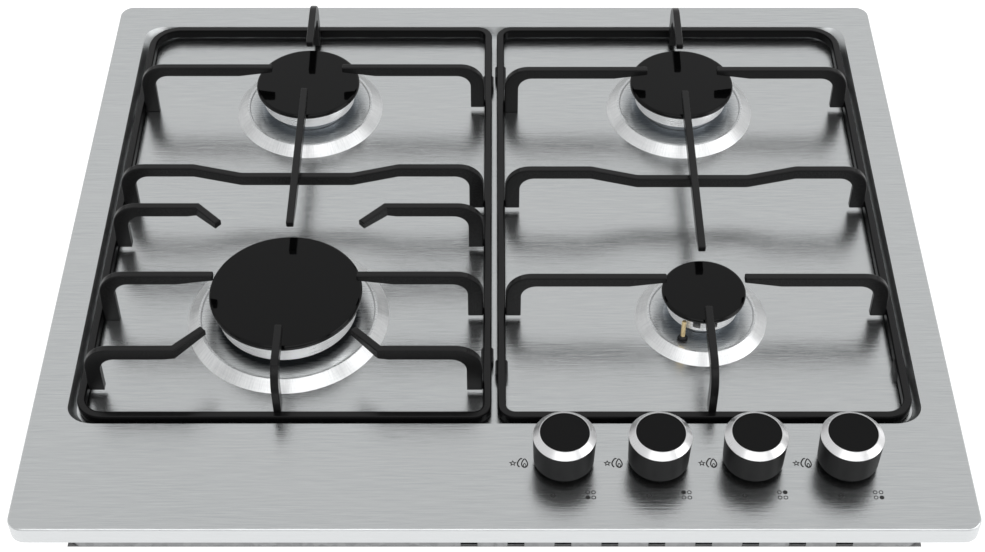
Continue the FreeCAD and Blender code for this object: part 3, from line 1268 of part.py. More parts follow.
node(frame("right", GI, GO, (11.5, 17.0, 22.0, 11.5)), "grate_right_frame")
ro_, ri_ = GO - BW, GI + BW
SX, SY = D("semi_right_x"), D("semi_right_y")
AX, AY = D("aux_x"), D("aux_y")
fingers = [
    finger("fr_rear_out", "x", ro_, SX + 24.7, SY, RT),
    finger("fr_rear_in", "x", ri_, SX - 25.4, SY, RT, foot_z=LEG_LOW),
    finger("fr_rear_back", "y", re, SY + 27, SX, RT, leg_w=dim(13.0)),
    long_finger("fr_long", SX, AY + 26, SY - 24.2, RT),
    cross_bar("fr_cross", ri_, ro_, SX, RT),
    finger("fr_side_out", "x", ro_, AX + 25.5, AY, RT),
    finger("fr_side_in", "x", ri_, AX - 24.9, AY, RT),
    finger("fr_front", "y", fr, AY - 26, AX, RT),
]
node(group("RightFingers", fingers), "grate_right_fingers")
bc_out, bc_in = GO - BW / 2, GI + BW / 2
node(group("RightFeet", [foot("rf_foot_1", bc_out, dim(-122.0), 1), foot("rf_foot_2", bc_in, dim(-123.0), 0),
                         foot("rf_foot_3", bc_out, dim(168.0), 1), foot("rf_foot_4", bc_in, dim(170.0), 0)]), "grate_right_feet")

# ============================================================ check and write
doc.recompute()
bad = []
for o in doc.Objects:
    if "Invalid" in o.State or "Error" in o.State:
        bad.append("%s: %s" % (o.Name, o.State))
for o in NODES:
    s = o.Shape
    if s.isNull() or not s.isValid() or not s.Solids:
        bad.append("%s: shape not usable" % o.Label)
if bad:
    raise RuntimeError("; ".join(bad))
labels = [o.Label for o in NODES]
if len(labels) != len(set(labels)) or len(labels) > 60:
    raise RuntimeError("node names")

os.makedirs("parts", exist_ok=True)
for o in NODES:
    o.Shape.exportStep(os.path.join("parts", o.Label + ".step"))
    bb = o.Shape.BoundBox
    print("%-26s solids %2d  vol %10.1f  x %.1f..%.1f y %.1f..%.1f z %.1f..%.1f" % (
        o.Label, len(o.Shape.Solids), o.Shape.Volume, bb.XMin, bb.XMax, bb.YMin, bb.YMax, bb.ZMin, bb.ZMax))
print(len(NODES), "nodes")
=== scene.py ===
import bpy
import bmesh
import math
from mathutils import Vector, Matrix


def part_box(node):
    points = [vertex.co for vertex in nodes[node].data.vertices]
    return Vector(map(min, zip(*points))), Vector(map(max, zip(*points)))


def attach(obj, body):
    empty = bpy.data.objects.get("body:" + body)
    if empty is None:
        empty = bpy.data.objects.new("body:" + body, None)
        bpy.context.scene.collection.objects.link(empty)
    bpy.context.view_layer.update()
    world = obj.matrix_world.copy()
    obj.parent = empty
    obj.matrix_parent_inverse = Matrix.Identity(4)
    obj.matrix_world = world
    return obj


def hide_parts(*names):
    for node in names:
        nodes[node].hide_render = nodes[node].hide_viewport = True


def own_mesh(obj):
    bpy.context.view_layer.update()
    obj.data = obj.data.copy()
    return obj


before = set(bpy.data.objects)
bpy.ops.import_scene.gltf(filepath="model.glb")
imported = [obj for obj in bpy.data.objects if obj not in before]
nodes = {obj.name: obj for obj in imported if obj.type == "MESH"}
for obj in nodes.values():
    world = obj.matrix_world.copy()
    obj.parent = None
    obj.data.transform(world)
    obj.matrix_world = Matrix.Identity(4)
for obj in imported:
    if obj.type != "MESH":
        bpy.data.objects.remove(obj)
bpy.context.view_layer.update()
scene = bpy.context.scene
scene.view_settings.view_transform = "Standard"
scene.view_settings.look = "None"

BURNERS = {
    "rapid": (-0.1355, -0.0740, 0.0660),
    "semi_left": (-0.1355, 0.1345, 0.0530),
    "semi_right": (0.1360, 0.1340, 0.0530),
    "auxiliary": (0.1360, -0.0740, 0.0431),
}
KNOBS = [(0.0422 + 0.05763 * i, -0.199) for i in range(4)]
RIM = 0.044


# ------------------------------------------------------------------ shader kit
class Mat:
    """A node material being built."""

    def __init__(self, name):
        self.m = bpy.data.materials.new(name)
        self.m.use_nodes = True
        self.t = self.m.node_tree
        self.t.nodes.clear()
        self.out = self.n("ShaderNodeOutputMaterial")
        self.p = self.n("ShaderNodeBsdfPrincipled")
        self.t.links.new(self.p.outputs[0], self.out.inputs[0])
        self.obj = self.n("ShaderNodeTexCoord").outputs["Object"]

    def n(self, kind, **props):
        node = self.t.nodes.new(kind)
        for k, v in props.items():
            setattr(node, k, v)
        return node

    def link(self, a, b):
        self.t.links.new(a, b)

    def put(self, socket, value):
        if hasattr(value, "is_linked") or isinstance(value, bpy.types.NodeSocket):
            self.link(value, socket)
        else:
            socket.default_value = value

    def math(self, op, a, b=0.0, c=0.0, clamp=False):
        node = self.n("ShaderNodeMath", operation=op)
        node.use_clamp = clamp
        for i, v in enumerate((a, b, c)):
            self.put(node.inputs[i], v)
        return node.outputs[0]

    def vec(self, op, a, b=(0, 0, 0)):
        node = self.n("ShaderNodeVectorMath", operation=op)
        self.put(node.inputs[0], a)
        self.put(node.inputs[1], b)
        return node.outputs["Value"] if op in ("LENGTH", "DOT_PRODUCT", "DISTANCE") else node.outputs["Vector"]

    def split(self, v):
        node = self.n("ShaderNodeSeparateXYZ")
        self.link(v, node.inputs[0])
        return node.outputs

    def join(self, x, y, z):
        node = self.n("ShaderNodeCombineXYZ")
        for i, v in enumerate((x, y, z)):
            self.put(node.inputs[i], v)
        return node.outputs[0]

    def noise(self, vector, scale, detail=2.0, rough=0.5, distort=0.0):
        node = self.n("ShaderNodeTexNoise")
        self.link(vector, node.inputs["Vector"])
        node.inputs["Scale"].default_value = scale
        node.inputs["Detail"].default_value = detail
        node.inputs["Roughness"].default_value = rough
        node.inputs["Distortion"].default_value = distort
        return node.outputs["Fac"]

    def voronoi(self, vector, scale, feature="F1", output="Distance"):
        node = self.n("ShaderNodeTexVoronoi", feature=feature)
        self.link(vector, node.inputs["Vector"])
        node.inputs["Scale"].default_value = scale
        return node.outputs[output]

    def span(self, fac, lo, hi, f0=0.0, f1=1.0):
        node = self.n("ShaderNodeMapRange")
        self.link(fac, node.inputs["Value"])
        for i, v in zip((1, 2, 3, 4), (f0, f1, lo, hi)):
            node.inputs[i].default_value = v
        return node.outputs[0]

    def mix(self, fac, a, b):
        node = self.n("ShaderNodeMix", data_type="RGBA")
        self.put(node.inputs["Factor"], fac)
        for sock, v in ((node.inputs[6], a), (node.inputs[7], b)):
            if isinstance(v, tuple) and len(v) == 3:
                v = v + (1.0,)
            self.put(sock, v)
        return node.outputs[2]

    def mixf(self, fac, a, b):
        node = self.n("ShaderNodeMix", data_type="FLOAT")
        self.put(node.inputs["Factor"], fac)
        self.put(node.inputs[2], a)
        self.put(node.inputs[3], b)
        return node.outputs[0]

    def bump(self, height, dist, strength=1.0):
        node = self.n("ShaderNodeBump")
        self.link(height, node.inputs["Height"])
        node.inputs["Distance"].default_value = dist
        node.inputs["Strength"].default_value = strength
        self.link(node.outputs[0], self.p.inputs["Normal"])

    def set(self, **kw):
        names = {"color": "Base Color", "metal": "Metallic", "rough": "Roughness", "spec": "Specular IOR Level",
                 "aniso": "Anisotropic", "coat": "Coat Weight", "coat_rough": "Coat Roughness", "tangent": "Tangent",
                 "sheen": "Sheen Weight"}
        for k, v in kw.items():
            if isinstance(v, tuple) and len(v) == 3:
                v = v + (1.0,)
            self.put(self.p.inputs[names[k]], v)
        return self


def facing_up(m, lo=0.25, hi=0.85):
    """0 on upright faces, 1 on level ones."""
    z = m.split(m.n("ShaderNodeTexCoord").outputs["Normal"])[2]
    return m.span(z, 0.0, 1.0, lo, hi)


def wear(m, base, spread):
    """Slow colour variation round a base colour."""
    f = m.noise(m.obj, 14.0, 3.0)
    a = tuple(c * (1 - spread) for c in base)
    b = tuple(c * (1 + spread) for c in base)
    return m.mix(m.span(f, 0.0, 1.0, 0.3, 0.7), a, b)


# ------------------------------------------------------------------- steel
def streaks(m, across, along, scale):
    """Brush marks: fine across, long along."""
    v = m.join(m.math("MULTIPLY", along, 0.012), across, 0.0)
    return m.noise(v, scale, 3.0, 0.6)


def plate_steel(name="steel_brushed_plate", hub=None):
    """Sheet brushed along X.  hub is (cx, cy, r, wide, dark): towards that circle the sheet is painted darker, a
    painted shade standing in for the shadow and dark reflection under the burner head.
    """
    m = Mat(name)
    x, y, z = m.split(m.obj)
    yz = m.math("ADD", y, m.math("MULTIPLY", z, 0.9))
    fine = m.noise(m.join(m.math("MULTIPLY", x, 0.014), yz, 0.0), 2400.0, 3.0, 0.6)
    mid = m.noise(m.join(m.math("MULTIPLY", x, 0.05), yz, 3.0), 820.0, 3.0, 0.6)
    wide = m.noise(m.join(m.math("MULTIPLY", x, 0.07), yz, 7.0), 300.0, 2.0, 0.5)
    slow = m.noise(m.join(m.math("MULTIPLY", x, 0.3), yz, 0.0), 22.0, 2.0)
    f = m.math("ADD", m.math("MULTIPLY", fine, 0.45), m.math("MULTIPLY", mid, 0.55))
    tone = m.mix(m.span(f, 0.0, 1.0, 0.34, 0.66), (0.603, 0.621, 0.625), (0.712, 0.727, 0.729))
    tone = m.mix(m.span(slow, 0.0, 0.35, 0.35, 0.65), tone, (0.69, 0.697, 0.698))
    nz = m.split(m.n("ShaderNodeTexCoord").outputs["Normal"])[2]
    rolled = m.span(nz, 0.16, 0.0, 0.70, 0.97)
    if hub:
        away = m.vec("LENGTH", m.join(m.math("SUBTRACT", x, hub[0]), m.math("SUBTRACT", y, hub[1]), 0.0))
        head_shade = m.math("ADD", away, m.span(mid, -0.0012, 0.0012, 0.3, 0.7))
        tone = m.mix(0.5, tone, (0.80, 0.815, 0.82))
        k = hub[4]
        # painted shade: the dish darkens towards the burner head
        tone = m.mix(m.math("POWER", m.span(head_shade, 0.0, 1.0, hub[2], hub[2] + hub[3]), 0.8), (k, k * 1.1, k * 1.2), tone)
    else:
        # painted shade by facing: upright faces of the sheet are darker than level ones
        tone = m.mix(m.span(nz, 0.6, 0.0, 0.2, 0.9), tone, (0.56, 0.572, 0.58))
    base = 0.25 if hub else 0.185
    m.set(color=tone, metal=0.85 if hub else 1.0, rough=m.math("ADD", m.span(f, base, base + 0.06, 0.3, 0.7), rolled), aniso=0.4,
          tangent=m.join(0.0, 1.0, 0.0))
    h = m.math("ADD", m.math("MULTIPLY", fine, 0.34), m.math("ADD", m.math("MULTIPLY", mid, 0.42), m.math("MULTIPLY", wide, 0.28)))
    m.bump(h, 0.00008 if hub else 0.00016, 1.0)
    return m.m


def round_steel(name, cx, cy, rough=(0.27, 0.36), tone=((0.66, 0.67, 0.675), (0.77, 0.775, 0.775)), aniso=0.4,
                scale=2300.0, metal=1.0, rays=0.5, depth=0.00002):
    """Circular brushing about an upright axis at (cx, cy), with faint rays across it."""
    m = Mat(name)
    rel = m.vec("SUBTRACT", m.obj, (cx, cy, 0.0))
    x, y, z = m.split(rel)
    flat = m.join(x, y, 0.0)
    r = m.vec("LENGTH", flat)
    ang = m.math("ARCTAN2", y, x)
    v = m.join(m.math("ADD", r, m.math("MULTIPLY", z, 0.7)), m.math("MULTIPLY", ang, 0.0011), 0.0)
    fine = m.noise(v, scale, 3.0, 0.6)
    ray = m.noise(m.join(m.math("MULTIPLY", r, 0.08), m.math("MULTIPLY", m.math("ABSOLUTE", ang), 0.034), m.math("SIGN", ang)),
                  1500.0, 3.0, 0.6)
    slow = m.noise(m.join(m.math("MULTIPLY", r, 6.0), m.math("MULTIPLY", ang, 0.05), 0.0), 30.0, 2.0)
    f = m.mixf(rays, fine, ray)
    tn = m.mix(m.span(f, 0.0, 1.0, 0.33, 0.67), tone[0], tone[1])
    m.set(color=tn, metal=metal, rough=m.math("ADD", m.span(f, rough[0], rough[1], 0.3, 0.7),
                                               m.span(slow, -0.02, 0.02, 0.3, 0.7)),
          aniso=aniso, tangent=m.vec("NORMALIZE", flat))
    m.bump(f, depth, 0.6)
    return m.m


def galvanised(name="steel_galvanised", base=(0.50, 0.51, 0.52)):
    m = Mat(name)
    cells = m.voronoi(m.obj, 260.0, output="Color")
    s = m.n("ShaderNodeSeparateColor")
    m.link(cells, s.inputs[0])
    g = m.noise(m.obj, 900.0, 3.0)
    lo, hi = tuple(c * 0.86 for c in base), tuple(c * 1.12 for c in base)
    m.set(color=m.mix(s.outputs[0], lo, hi), metal=1.0, rough=m.math("ADD", m.span(s.outputs[1], 0.34, 0.5), m.span(g, -0.03, 0.03)))
    m.bump(g, 0.00003, 0.3)
    return m.m


# ------------------------------------------------------------------- enamel
def enamel(name, base, rough, peel, spec):
    """Vitreous enamel: slight orange peel, tiny pits, faint tone change."""
    m = Mat(name)
    a = m.noise(m.obj, peel, 2.0, 0.5)
    b = m.noise(m.obj, peel * 5.0, 2.0, 0.5)
    pits = m.voronoi(m.obj, peel * 1.7)
    pit = m.span(pits, 0.0, 1.0, 0.02, 0.10)
    h = m.math("ADD", m.math("MULTIPLY", a, 0.7), m.math("ADD", m.math("MULTIPLY", b, 0.2), m.math("MULTIPLY", pit, 0.1)))
    m.set(color=wear(m, base, 0.12), rough=m.span(b, rough * 0.85, rough * 1.2, 0.3, 0.7), spec=spec)
    m.bump(h, 0.00004, 0.5)
    return m.m


def grain(name, base, rough, scale=1500.0, depth=0.00003, spread=0.1, spec=0.4, metal=0.0, sheen=0.0):
    """Moulded plastic, rubber or cast metal with a fine grain."""
    m = Mat(name)
    a = m.noise(m.obj, scale, 3.0, 0.6)
    c = m.voronoi(m.obj, scale * 0.6)
    h = m.math("ADD", m.math("MULTIPLY", a, 0.6), m.math("MULTIPLY", c, 0.4))
    m.set(color=wear(m, base, spread), metal=metal, rough=m.span(a, rough - 0.06, rough + 0.06, 0.3, 0.7), spec=spec)
    if sheen:
        m.set(sheen=sheen)
    m.bump(h, depth, 0.5)
    return m.m


def turned(name, base, rough, metal=1.0, scale=2600.0):
    """Machined metal: fine rings along Z, faint tarnish."""
    m = Mat(name)
    x, y, z = m.split(m.obj)
    ring = m.noise(m.join(m.math("MULTIPLY", x, 0.03), m.math("MULTIPLY", y, 0.03), z), scale, 3.0, 0.6)
    m.set(color=wear(m, base, 0.08), metal=metal, rough=m.span(ring, rough - 0.05, rough + 0.07, 0.3, 0.7))
    m.bump(ring, 0.00001, 0.4)
    return m.m


# ------------------------------------------------- materials on the CAD nodes
def dress(node, *mats):
    o = nodes[node]
    o.data.materials.clear()
    for m in mats:
        o.data.materials.append(m)
    for p in o.data.polygons:
        p.material_index = 0
    return o


plate = plate_steel()
seat_mats = []
for nm, (cx, cy, r) in BURNERS.items():
    seat_mats.append(round_steel("steel_seat_" + nm, cx, cy, rough=(0.36, 0.46),
                                 tone=((0.76, 0.77, 0.775), (0.96, 0.965, 0.965)), rays=0.7, depth=0.00003, metal=0.88))
dish_mats = []
# the last number in each row is how dark the painted shade round that burner head gets
for nm, head, wide, head_shade in (("rapid", 0.0455, 0.010, 0.055), ("semi_left", 0.0331, 0.011, 0.24),
                             ("semi_right", 0.0331, 0.011, 0.24), ("auxiliary", 0.0232, 0.010, 0.26)):
    dish_mats.append(plate_steel("steel_dish_" + nm, (BURNERS[nm][0], BURNERS[nm][1], head, wide, head_shade)))
crest = grain("steel_seat_crest", (0.74, 0.75, 0.755), 0.55, 2600.0, 0.00001, 0.05, metal=0.6)
top = dress("top_plate", plate, *seat_mats, *dish_mats, crest)
for p in top.data.polygons:
    for k, (cx, cy, r) in enumerate(BURNERS.values()):
        d = [math.hypot(top.data.vertices[i].co.x - cx, top.data.vertices[i].co.y - cy) for i in p.vertices]
        if max(d) < r + 0.0002:
            p.material_index = k + 1 if p.normal.z <= 0.975 and r - 0.0095 < min(d) else k + 5
            if 0.5 < p.normal.z and r - 0.0097 < min(d) and max(d) < r - 0.0084:
                p.material_index = 9

dress("worktop_seal", grain("foam_seal", (0.03, 0.03, 0.032), 0.85, 900.0, 0.0002))
zinc = galvanised()
for n in ("pan_brackets", "burner_channels"):
    dress(n, zinc)
dress("base_pan", galvanised("steel_galvanised_pan", (0.27, 0.275, 0.28)))
plated = galvanised("steel_zinc_plated", (0.60, 0.60, 0.59))
for n in ("pan_screws", "tap_bonnets", "gas_rail"):
    dress(n, plated)
cast = grain("aluminium_cast", (0.56, 0.57, 0.58), 0.42, 700.0, 0.00008, 0.06, metal=1.0)
for n in ("burner_cup_rapid", "burner_cup_auxiliary", "burner_cups_semi_rapid", "tap_bodies"):
    dress(n, cast)
dress("feed_pipes", turned("aluminium_drawn", (0.68, 0.68, 0.69), 0.28, scale=900.0))
brass = turned("brass_turned", (0.80, 0.58, 0.26), 0.2)
for n in ("injectors", "pipe_nuts", "inlet_elbow", "tap_plug_1", "tap_plug_2", "tap_plug_3", "tap_plug_4"):
    dress(n, brass)
ring_rubber = grain("rubber_ring", (0.010, 0.010, 0.011), 0.5, 1500.0)
probes = dress("flame_sensors", turned("brass_sensor", (0.86, 0.68, 0.38), 0.34, metal=0.8), ring_rubber)
AXES = []
for nm, head_r, deg in (("rapid", 0.0455, 59.0), ("semi_left", 0.0331, 59.0), ("semi_right", 0.0331, 120.0),
                        ("auxiliary", 0.0232, -121.0)):
    cx, cy, r = BURNERS[nm]
    AXES.append((cx + (head_r + 0.004) * math.cos(math.radians(deg)), cy + (head_r + 0.004) * math.sin(math.radians(deg))))
for p in probes.data.polygons:
    c = p.center
    if 0.0422 < c.z < 0.0468:
        for ax, ay in AXES:
            if 0.0016 < math.hypot(c.x - ax, c.y - ay) < 0.0040:
                p.material_index = 1

dress("igniter_insulators", grain("ceramic_glazed", (0.82, 0.81, 0.77), 0.16, 500.0, 0.00002, 0.03, spec=0.6))
steel_wire = turned("steel_drawn", (0.55, 0.55, 0.56), 0.3)
for n in ["igniter_pins"] + ["tap_spring_%d" % k for k in range(1, 5)] + ["tap_spindle_%d" % k for k in range(1, 5)]:
    dress(n, steel_wire)


def coil_spring(k, cx, cy, low=0.0248, high=0.0305, mean=0.0053, wire=0.00045, turns=4.0, per=28, ring=12):
    """Return spring of tap k: a round wire wound between plug and spindle collar, carried with the tap's body."""
    bm = bmesh.new()
    rows = []
    n = int(turns * per)
    for i in range(n + 1):
        a = 2 * math.pi * i / per
        c = Vector((cx + mean * math.cos(a), cy + mean * math.sin(a), low + (high - low) * i / n))
        out = Vector((math.cos(a), math.sin(a), 0.0))
        run = Vector((-math.sin(a) * mean, math.cos(a) * mean, (high - low) / (2 * math.pi * turns))).normalized()
        up = out.cross(run)
        rows.append([bm.verts.new(c + (out * math.cos(2 * math.pi * j / ring) + up * math.sin(2 * math.pi * j / ring)) * wire)
                     for j in range(ring)])
    for i in range(n):
        for j in range(ring):
            q = (j + 1) % ring
            bm.faces.new((rows[i][j], rows[i][q], rows[i + 1][q], rows[i + 1][j]))
    bm.faces.new(rows[0])
    bm.faces.new(list(reversed(rows[-1])))
    bmesh.ops.recalc_face_normals(bm, faces=bm.faces)
    me = bpy.data.meshes.new("return_spring_%d" % k)
    bm.to_mesh(me)
    bm.free()
    for p in me.polygons:
        p.use_smooth = len(p.vertices) == 4
    me.materials.append(steel_wire)
    ob = bpy.data.objects.new("return_spring_%d" % k, me)
    scene.collection.objects.link(ob)
    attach(ob, "tap_%d" % k)
    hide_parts("tap_spring_%d" % k)
    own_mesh(ob)


for k, (cx, cy) in enumerate(KNOBS):
    coil_spring(k + 1, cx, cy)
dress("ignition_switches", grain("plastic_switch", (0.035, 0.035, 0.036), 0.5))
dress("ignition_unit", grain("plastic_unit", (0.05, 0.05, 0.052), 0.5))
dress("terminal_block", grain("plastic_terminal", (0.72, 0.71, 0.67), 0.45))
dress("spark_leads", grain("silicone_lead", (0.70, 0.69, 0.66), 0.4, 1200.0))
dress("wiring", grain("wire_sleeve", (0.05, 0.05, 0.06), 0.4, 1200.0))
soft_rubber = grain("rubber_black", (0.022, 0.022, 0.023), 0.62, 1300.0)
for n in ("spindle_seals", "cable_grommet", "grate_left_feet", "grate_right_feet"):
    dress(n, soft_rubber)

HEAD = {"rapid": 0.0455, "semi_left": 0.0331, "semi_right": 0.0331, "auxiliary": 0.0232}
# inner faces of the head's ports and bore are painted near-black: painted shade in these recesses, with some soot
bore_shade_and_carbon = grain("aluminium_sooted", (0.07, 0.07, 0.072), 0.6, 900.0, 0.00005, 0.2, metal=0.6)
cap_enamel = enamel("enamel_cap", (0.0016, 0.0016, 0.0017), 0.07, 300.0, 0.20)
for nm in BURNERS:
    dress("burner_cap_" + nm, cap_enamel)
    cx, cy, r = BURNERS[nm]
    side = round_steel("aluminium_head_" + nm, cx, cy, rough=(0.26, 0.34), tone=((0.93, 0.935, 0.94), (0.98, 0.98, 0.98)),
                       aniso=0.3, scale=2800.0, rays=0.15, metal=0.55)
    for p in dress("burner_head_" + nm, side, bore_shade_and_carbon).data.polygons:
        if math.hypot(p.center.x - cx, p.center.y - cy) < HEAD[nm] - 0.0003 and abs(p.normal.z) < 0.9:
            p.material_index = 1
# lit and shaded copies of one black enamel: level faces get more specular, frame sides less, finger sides a lighter
# base colour, so light is painted by facing
iron_side = enamel("enamel_grate_side", (0.0030, 0.0029, 0.0031), 0.26, 420.0, 0.06)
iron_leg = enamel("enamel_grate_leg", (0.0095, 0.0094, 0.0096), 0.26, 420.0, 0.12)
iron_top = enamel("enamel_grate_top", (0.0032, 0.0031, 0.0033), 0.20, 420.0, 0.36)
for s in ("left", "right"):
    for part in ("frame", "fingers"):
        for p in dress("grate_%s_%s" % (s, part), iron_side if part == "frame" else iron_leg, iron_top).data.polygons:
            if p.normal.z > 0.9:
                p.material_index = 1

def knob_plastic():
    m = Mat("plastic_knob")
    a = m.noise(m.obj, 2600.0, 3.0, 0.6)
    c = m.voronoi(m.obj, 1600.0)
    # colour by facing: level faces darker than upright ones, a painted shade that also stands for the knob's darker top
    # disc
    up = facing_up(m)
    m.set(color=m.mix(up, wear(m, (0.0085, 0.0085, 0.0088), 0.06), wear(m, (0.0036, 0.0036, 0.0038), 0.06)),
          rough=m.span(a, 0.40, 0.50, 0.3, 0.7), spec=0.13)
    m.bump(m.math("ADD", m.math("MULTIPLY", a, 0.6), m.math("MULTIPLY", c, 0.4)), 0.00002, 0.5)
    return m.m


knob_black = knob_plastic()
for k, (cx, cy) in enumerate(KNOBS):
    dress("knob_%d" % (k + 1), knob_black)
    dress("knob_ring_%d" % (k + 1), round_steel("chrome_ring_%d" % (k + 1), cx, cy, rough=(0.26, 0.33),
                                                 tone=((0.80, 0.80, 0.81), (0.88, 0.88, 0.88)), aniso=0.35, scale=3200.0,
                                                 rays=0.6))


# ------------------------------------------------------- marks by the knobs
def ink():
    m = Mat("ink_print")
    f = m.noise(m.obj, 5000.0, 2.0)
    m.set(color=m.mix(m.span(f, 0.0, 1.0, 0.3, 0.7), (0.012, 0.012, 0.012), (0.03, 0.03, 0.03)), rough=m.span(f, 0.45, 0.6))
    m.bump(f, 0.000005, 0.3)
    return m.m


INK = ink()
THICK = 0.00005


def stroke(bm, pts, width, closed=True):
    """A raised ink line of even width along points (metres, plate plane)."""
    n = len(pts)
    left, right = [], []
    for i in range(n):
        p = Vector(pts[i])
        a = Vector(pts[(i - 1) % n]) if closed or i > 0 else None
        b = Vector(pts[(i + 1) % n]) if closed or i < n - 1 else None
        d1 = (p - a).normalized() if a is not None else (b - p).normalized()
        d2 = (b - p).normalized() if b is not None else d1
        n1, n2 = Vector((-d1.y, d1.x)), Vector((-d2.y, d2.x))
        m = n1 + n2
        m = m.normalized() if m.length > 1e-9 else n1
        k = min(1.0 / max(m.dot(n1), 0.35), 2.2)
        left.append(p + m * (width / 2 * k))
        right.append(p - m * (width / 2 * k))
    rows = []
    for side in (left, right):
        rows.append([bm.verts.new((q.x, q.y, RIM)) for q in side])
        rows.append([bm.verts.new((q.x, q.y, RIM + THICK)) for q in side])
    lb, lt, rb, rt = rows
    for i in range(n if closed else n - 1):
        j = (i + 1) % n
        bm.faces.new((lt[i], rt[i], rt[j], lt[j]))
        bm.faces.new((lb[i], lt[i], lt[j], lb[j]))
        bm.faces.new((rt[i], rb[i], rb[j], rt[j]))
        bm.faces.new((rb[i], lb[i], lb[j], rb[j]))
    if not closed:
        for i in (0, n - 1):
            bm.faces.new((lb[i], rb[i], rt[i], lt[i]))


def disc(bm, c, r, n=24):
    low, high = [], []
    for i in range(n):
        a = 2 * math.pi * i / n
        x, y = c[0] + r * math.cos(a), c[1] + r * math.sin(a)
        low.append(bm.verts.new((x, y, RIM)))
        high.append(bm.verts.new((x, y, RIM + THICK)))
    bm.faces.new(high)
    bm.faces.new(list(reversed(low)))
    for i in range(n):
        j = (i + 1) % n
        bm.faces.new((low[i], low[j], high[j], high[i]))


def circle(c, r, n=28):
    return [(c[0] + r * math.cos(2 * math.pi * i / n), c[1] + r * math.sin(2 * math.pi * i / n)) for i in range(n)]


def star(c, r):
    out = []
    for i in range(10):
        a = math.pi / 2 + math.pi * i / 5
        q = r if i % 2 == 0 else r * 0.45
        out.append((c[0] + q * math.cos(a), c[1] + q * math.sin(a)))
    return out


def flame(c, w, h, a0=-90.0, a1=270.0, n=40, lean=0.0):
    """A drop with a pointed top.  a0..a1 picks a part of the outline (degrees, 90 is the tip)."""
    out = []
    for i in range(n + 1):
        a = math.radians(a0 + (a1 - a0) * i / n)
        s, k = math.sin(a), math.cos(a)
        up = max(s, 0.0)
        x = k * (1.0 - 0.42 * up ** 1.4)
        y = s * (0.42 if s < 0 else 0.58) * 2.0
        out.append((c[0] + x * w / 2 + lean * up * w, c[1] + y * h / 2 - 0.08 * h))
    return out


def mm(x, y):
    return (x / 1000.0, y / 1000.0)


for k, (cx, cy) in enumerate(KNOBS):
    bm = bmesh.new()
    X = cx * 1000
    stroke(bm, star(mm(X - 31.0, -200.0), 0.00185), 0.00055)
    big = flame(mm(X - 25.9, -199.7), 0.0045, 0.0068, 66.0, 244.0, 34)
    stroke(bm, big, 0.00085, closed=False)
    small = flame(mm(X - 23.8, -199.9), 0.0037, 0.0065, -90.0, 262.0, 36)
    stroke(bm, small, 0.00075)
    inner = flame(mm(X - 23.8, -201.4), 0.0016, 0.0028, -90.0, 262.0, 24)
    stroke(bm, inner, 0.00050)
    stroke(bm, circle(mm(X - 6.9, -224.5), 0.00130), 0.00055)
    for j, (dx, dy) in enumerate(((-1.75, -1.95), (-1.75, 1.95), (1.75, 1.95), (1.75, -1.95))):
        c = mm(X + 15.7 + dx, -224.0 + dy)
        if j == k:
            disc(bm, c, 0.00145)
        else:
            stroke(bm, circle(c, 0.00115), 0.00050)
    bmesh.ops.recalc_face_normals(bm, faces=bm.faces)
    me = bpy.data.meshes.new("marks_%d" % (k + 1))
    bm.to_mesh(me)
    bm.free()
    ob = bpy.data.objects.new("marks_%d" % (k + 1), me)
    scene.collection.objects.link(ob)
    me.materials.append(INK)
    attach(ob, "hob")

# ------------------------------------------------------------ floor and light
bm = bmesh.new()
bmesh.ops.create_grid(bm, x_segments=8, y_segments=8, size=9.0)
me = bpy.data.meshes.new("floor")
bm.to_mesh(me)
bm.free()
floor = bpy.data.objects.new("floor", me)
scene.collection.objects.link(floor)
fm = Mat("floor_white")
ff = fm.noise(fm.obj, 3.0, 2.0)
fm.set(color=fm.mix(fm.span(ff, 0.0, 1.0, 0.3, 0.7), (0.27, 0.27, 0.27), (0.30, 0.30, 0.30)), rough=0.9, spec=0.1)
fm.p.inputs["Emission Color"].default_value = (1, 1, 1, 1)
# floor emission is painted light: strongest near the hob to wash out its cast shadow, and off under the base pan's
# footprint as a painted shadow
away = fm.vec("LENGTH", fm.obj)
pan_lo, pan_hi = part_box("base_pan")
fx, fy, fz = fm.split(fm.obj)
pan_shadow_mask = fm.math("MULTIPLY",
                 fm.math("LESS_THAN", fm.math("ABSOLUTE", fm.math("SUBTRACT", fx, (pan_lo[0] + pan_hi[0]) / 2)), (pan_hi[0] - pan_lo[0]) / 2),
                 fm.math("LESS_THAN", fm.math("ABSOLUTE", fm.math("SUBTRACT", fy, (pan_lo[1] + pan_hi[1]) / 2)), (pan_hi[1] - pan_lo[1]) / 2))
painted_floor_light = fm.math("MULTIPLY", fm.span(away, 1.02, 0.42, 0.75, 1.9), fm.math("SUBTRACT", 1.0, pan_shadow_mask))
fm.link(painted_floor_light, fm.p.inputs["Emission Strength"])
me.materials.append(fm.m)
floor.location.z = -0.0005

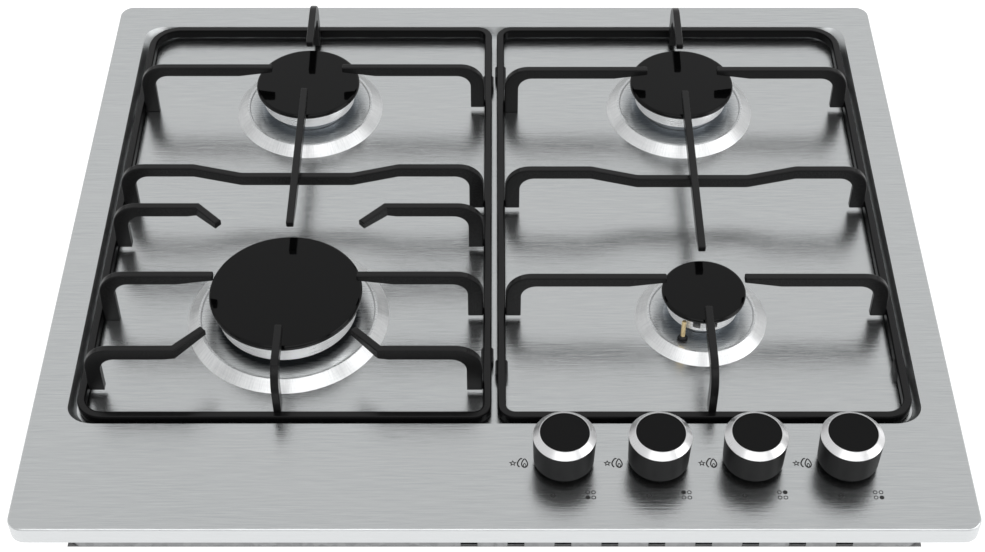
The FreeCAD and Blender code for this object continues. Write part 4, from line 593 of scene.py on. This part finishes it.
world = bpy.data.worlds.new("studio")
scene.world = world
world.use_nodes = True
wt = world.node_tree
wt.nodes.clear()
bg = wt.nodes.new("ShaderNodeBackground")
wo = wt.nodes.new("ShaderNodeOutputWorld")
tc = wt.nodes.new("ShaderNodeTexCoord")
sep = wt.nodes.new("ShaderNodeSeparateXYZ")
ramp = wt.nodes.new("ShaderNodeValToRGB")
wt.links.new(tc.outputs["Generated"], sep.inputs[0])
wt.links.new(sep.outputs["Z"], ramp.inputs[0])
ramp.color_ramp.elements[0].position = 0.0
ramp.color_ramp.elements[0].color = (0.80, 0.80, 0.80, 1)
ramp.color_ramp.elements[1].position = 1.0
ramp.color_ramp.elements[1].color = (0.62, 0.625, 0.63, 1)
for at, v in ((0.45, 0.61), (0.58, 0.73), (0.67, 0.69), (0.78, 0.645)):
    e = ramp.color_ramp.elements.new(at)
    e.color = (v, v * 1.006, v * 1.012, 1)
wt.links.new(ramp.outputs[0], bg.inputs[0])
bg.inputs[1].default_value = 1.06
wt.links.new(bg.outputs[0], wo.inputs[0])


def softbox(name, loc, aim, w, h, power, tint=(1, 1, 1)):
    li = bpy.data.lights.new(name, "AREA")
    li.shape = "RECTANGLE"
    li.size, li.size_y = w, h
    li.energy = power
    li.color = tint
    ob = bpy.data.objects.new(name, li)
    ob.location = loc
    ob.rotation_euler = (Vector(aim) - Vector(loc)).to_track_quat("-Z", "Y").to_euler()
    scene.collection.objects.link(ob)
    return ob


softbox("key", (0.1, -1.40, 2.10), (0.0, 0.0, 0.04), 2.6, 1.4, 15.0)
softbox("side", (2.1, -0.55, 1.25), (0.0, -0.05, 0.04), 1.4, 1.4, 12.0)

# --------------------------------------------------------------------- camera
cam_data = bpy.data.cameras.new("camera")
cam_data.sensor_width = 36.0
cam_data.lens = 36.0 * 1843.0 / 985.0
cam_data.shift_x = -(494.4 - 492.5) / 985.0
cam_data.clip_start = 0.01
cam_data.clip_end = 60.0
cam = bpy.data.objects.new("camera", cam_data)
cam.location = (0.0, -0.8976, 0.8885 + RIM)
cam.rotation_euler = (math.radians(90.0 - 46.06), 0.0, 0.0)
scene.collection.objects.link(cam)
scene.camera = cam
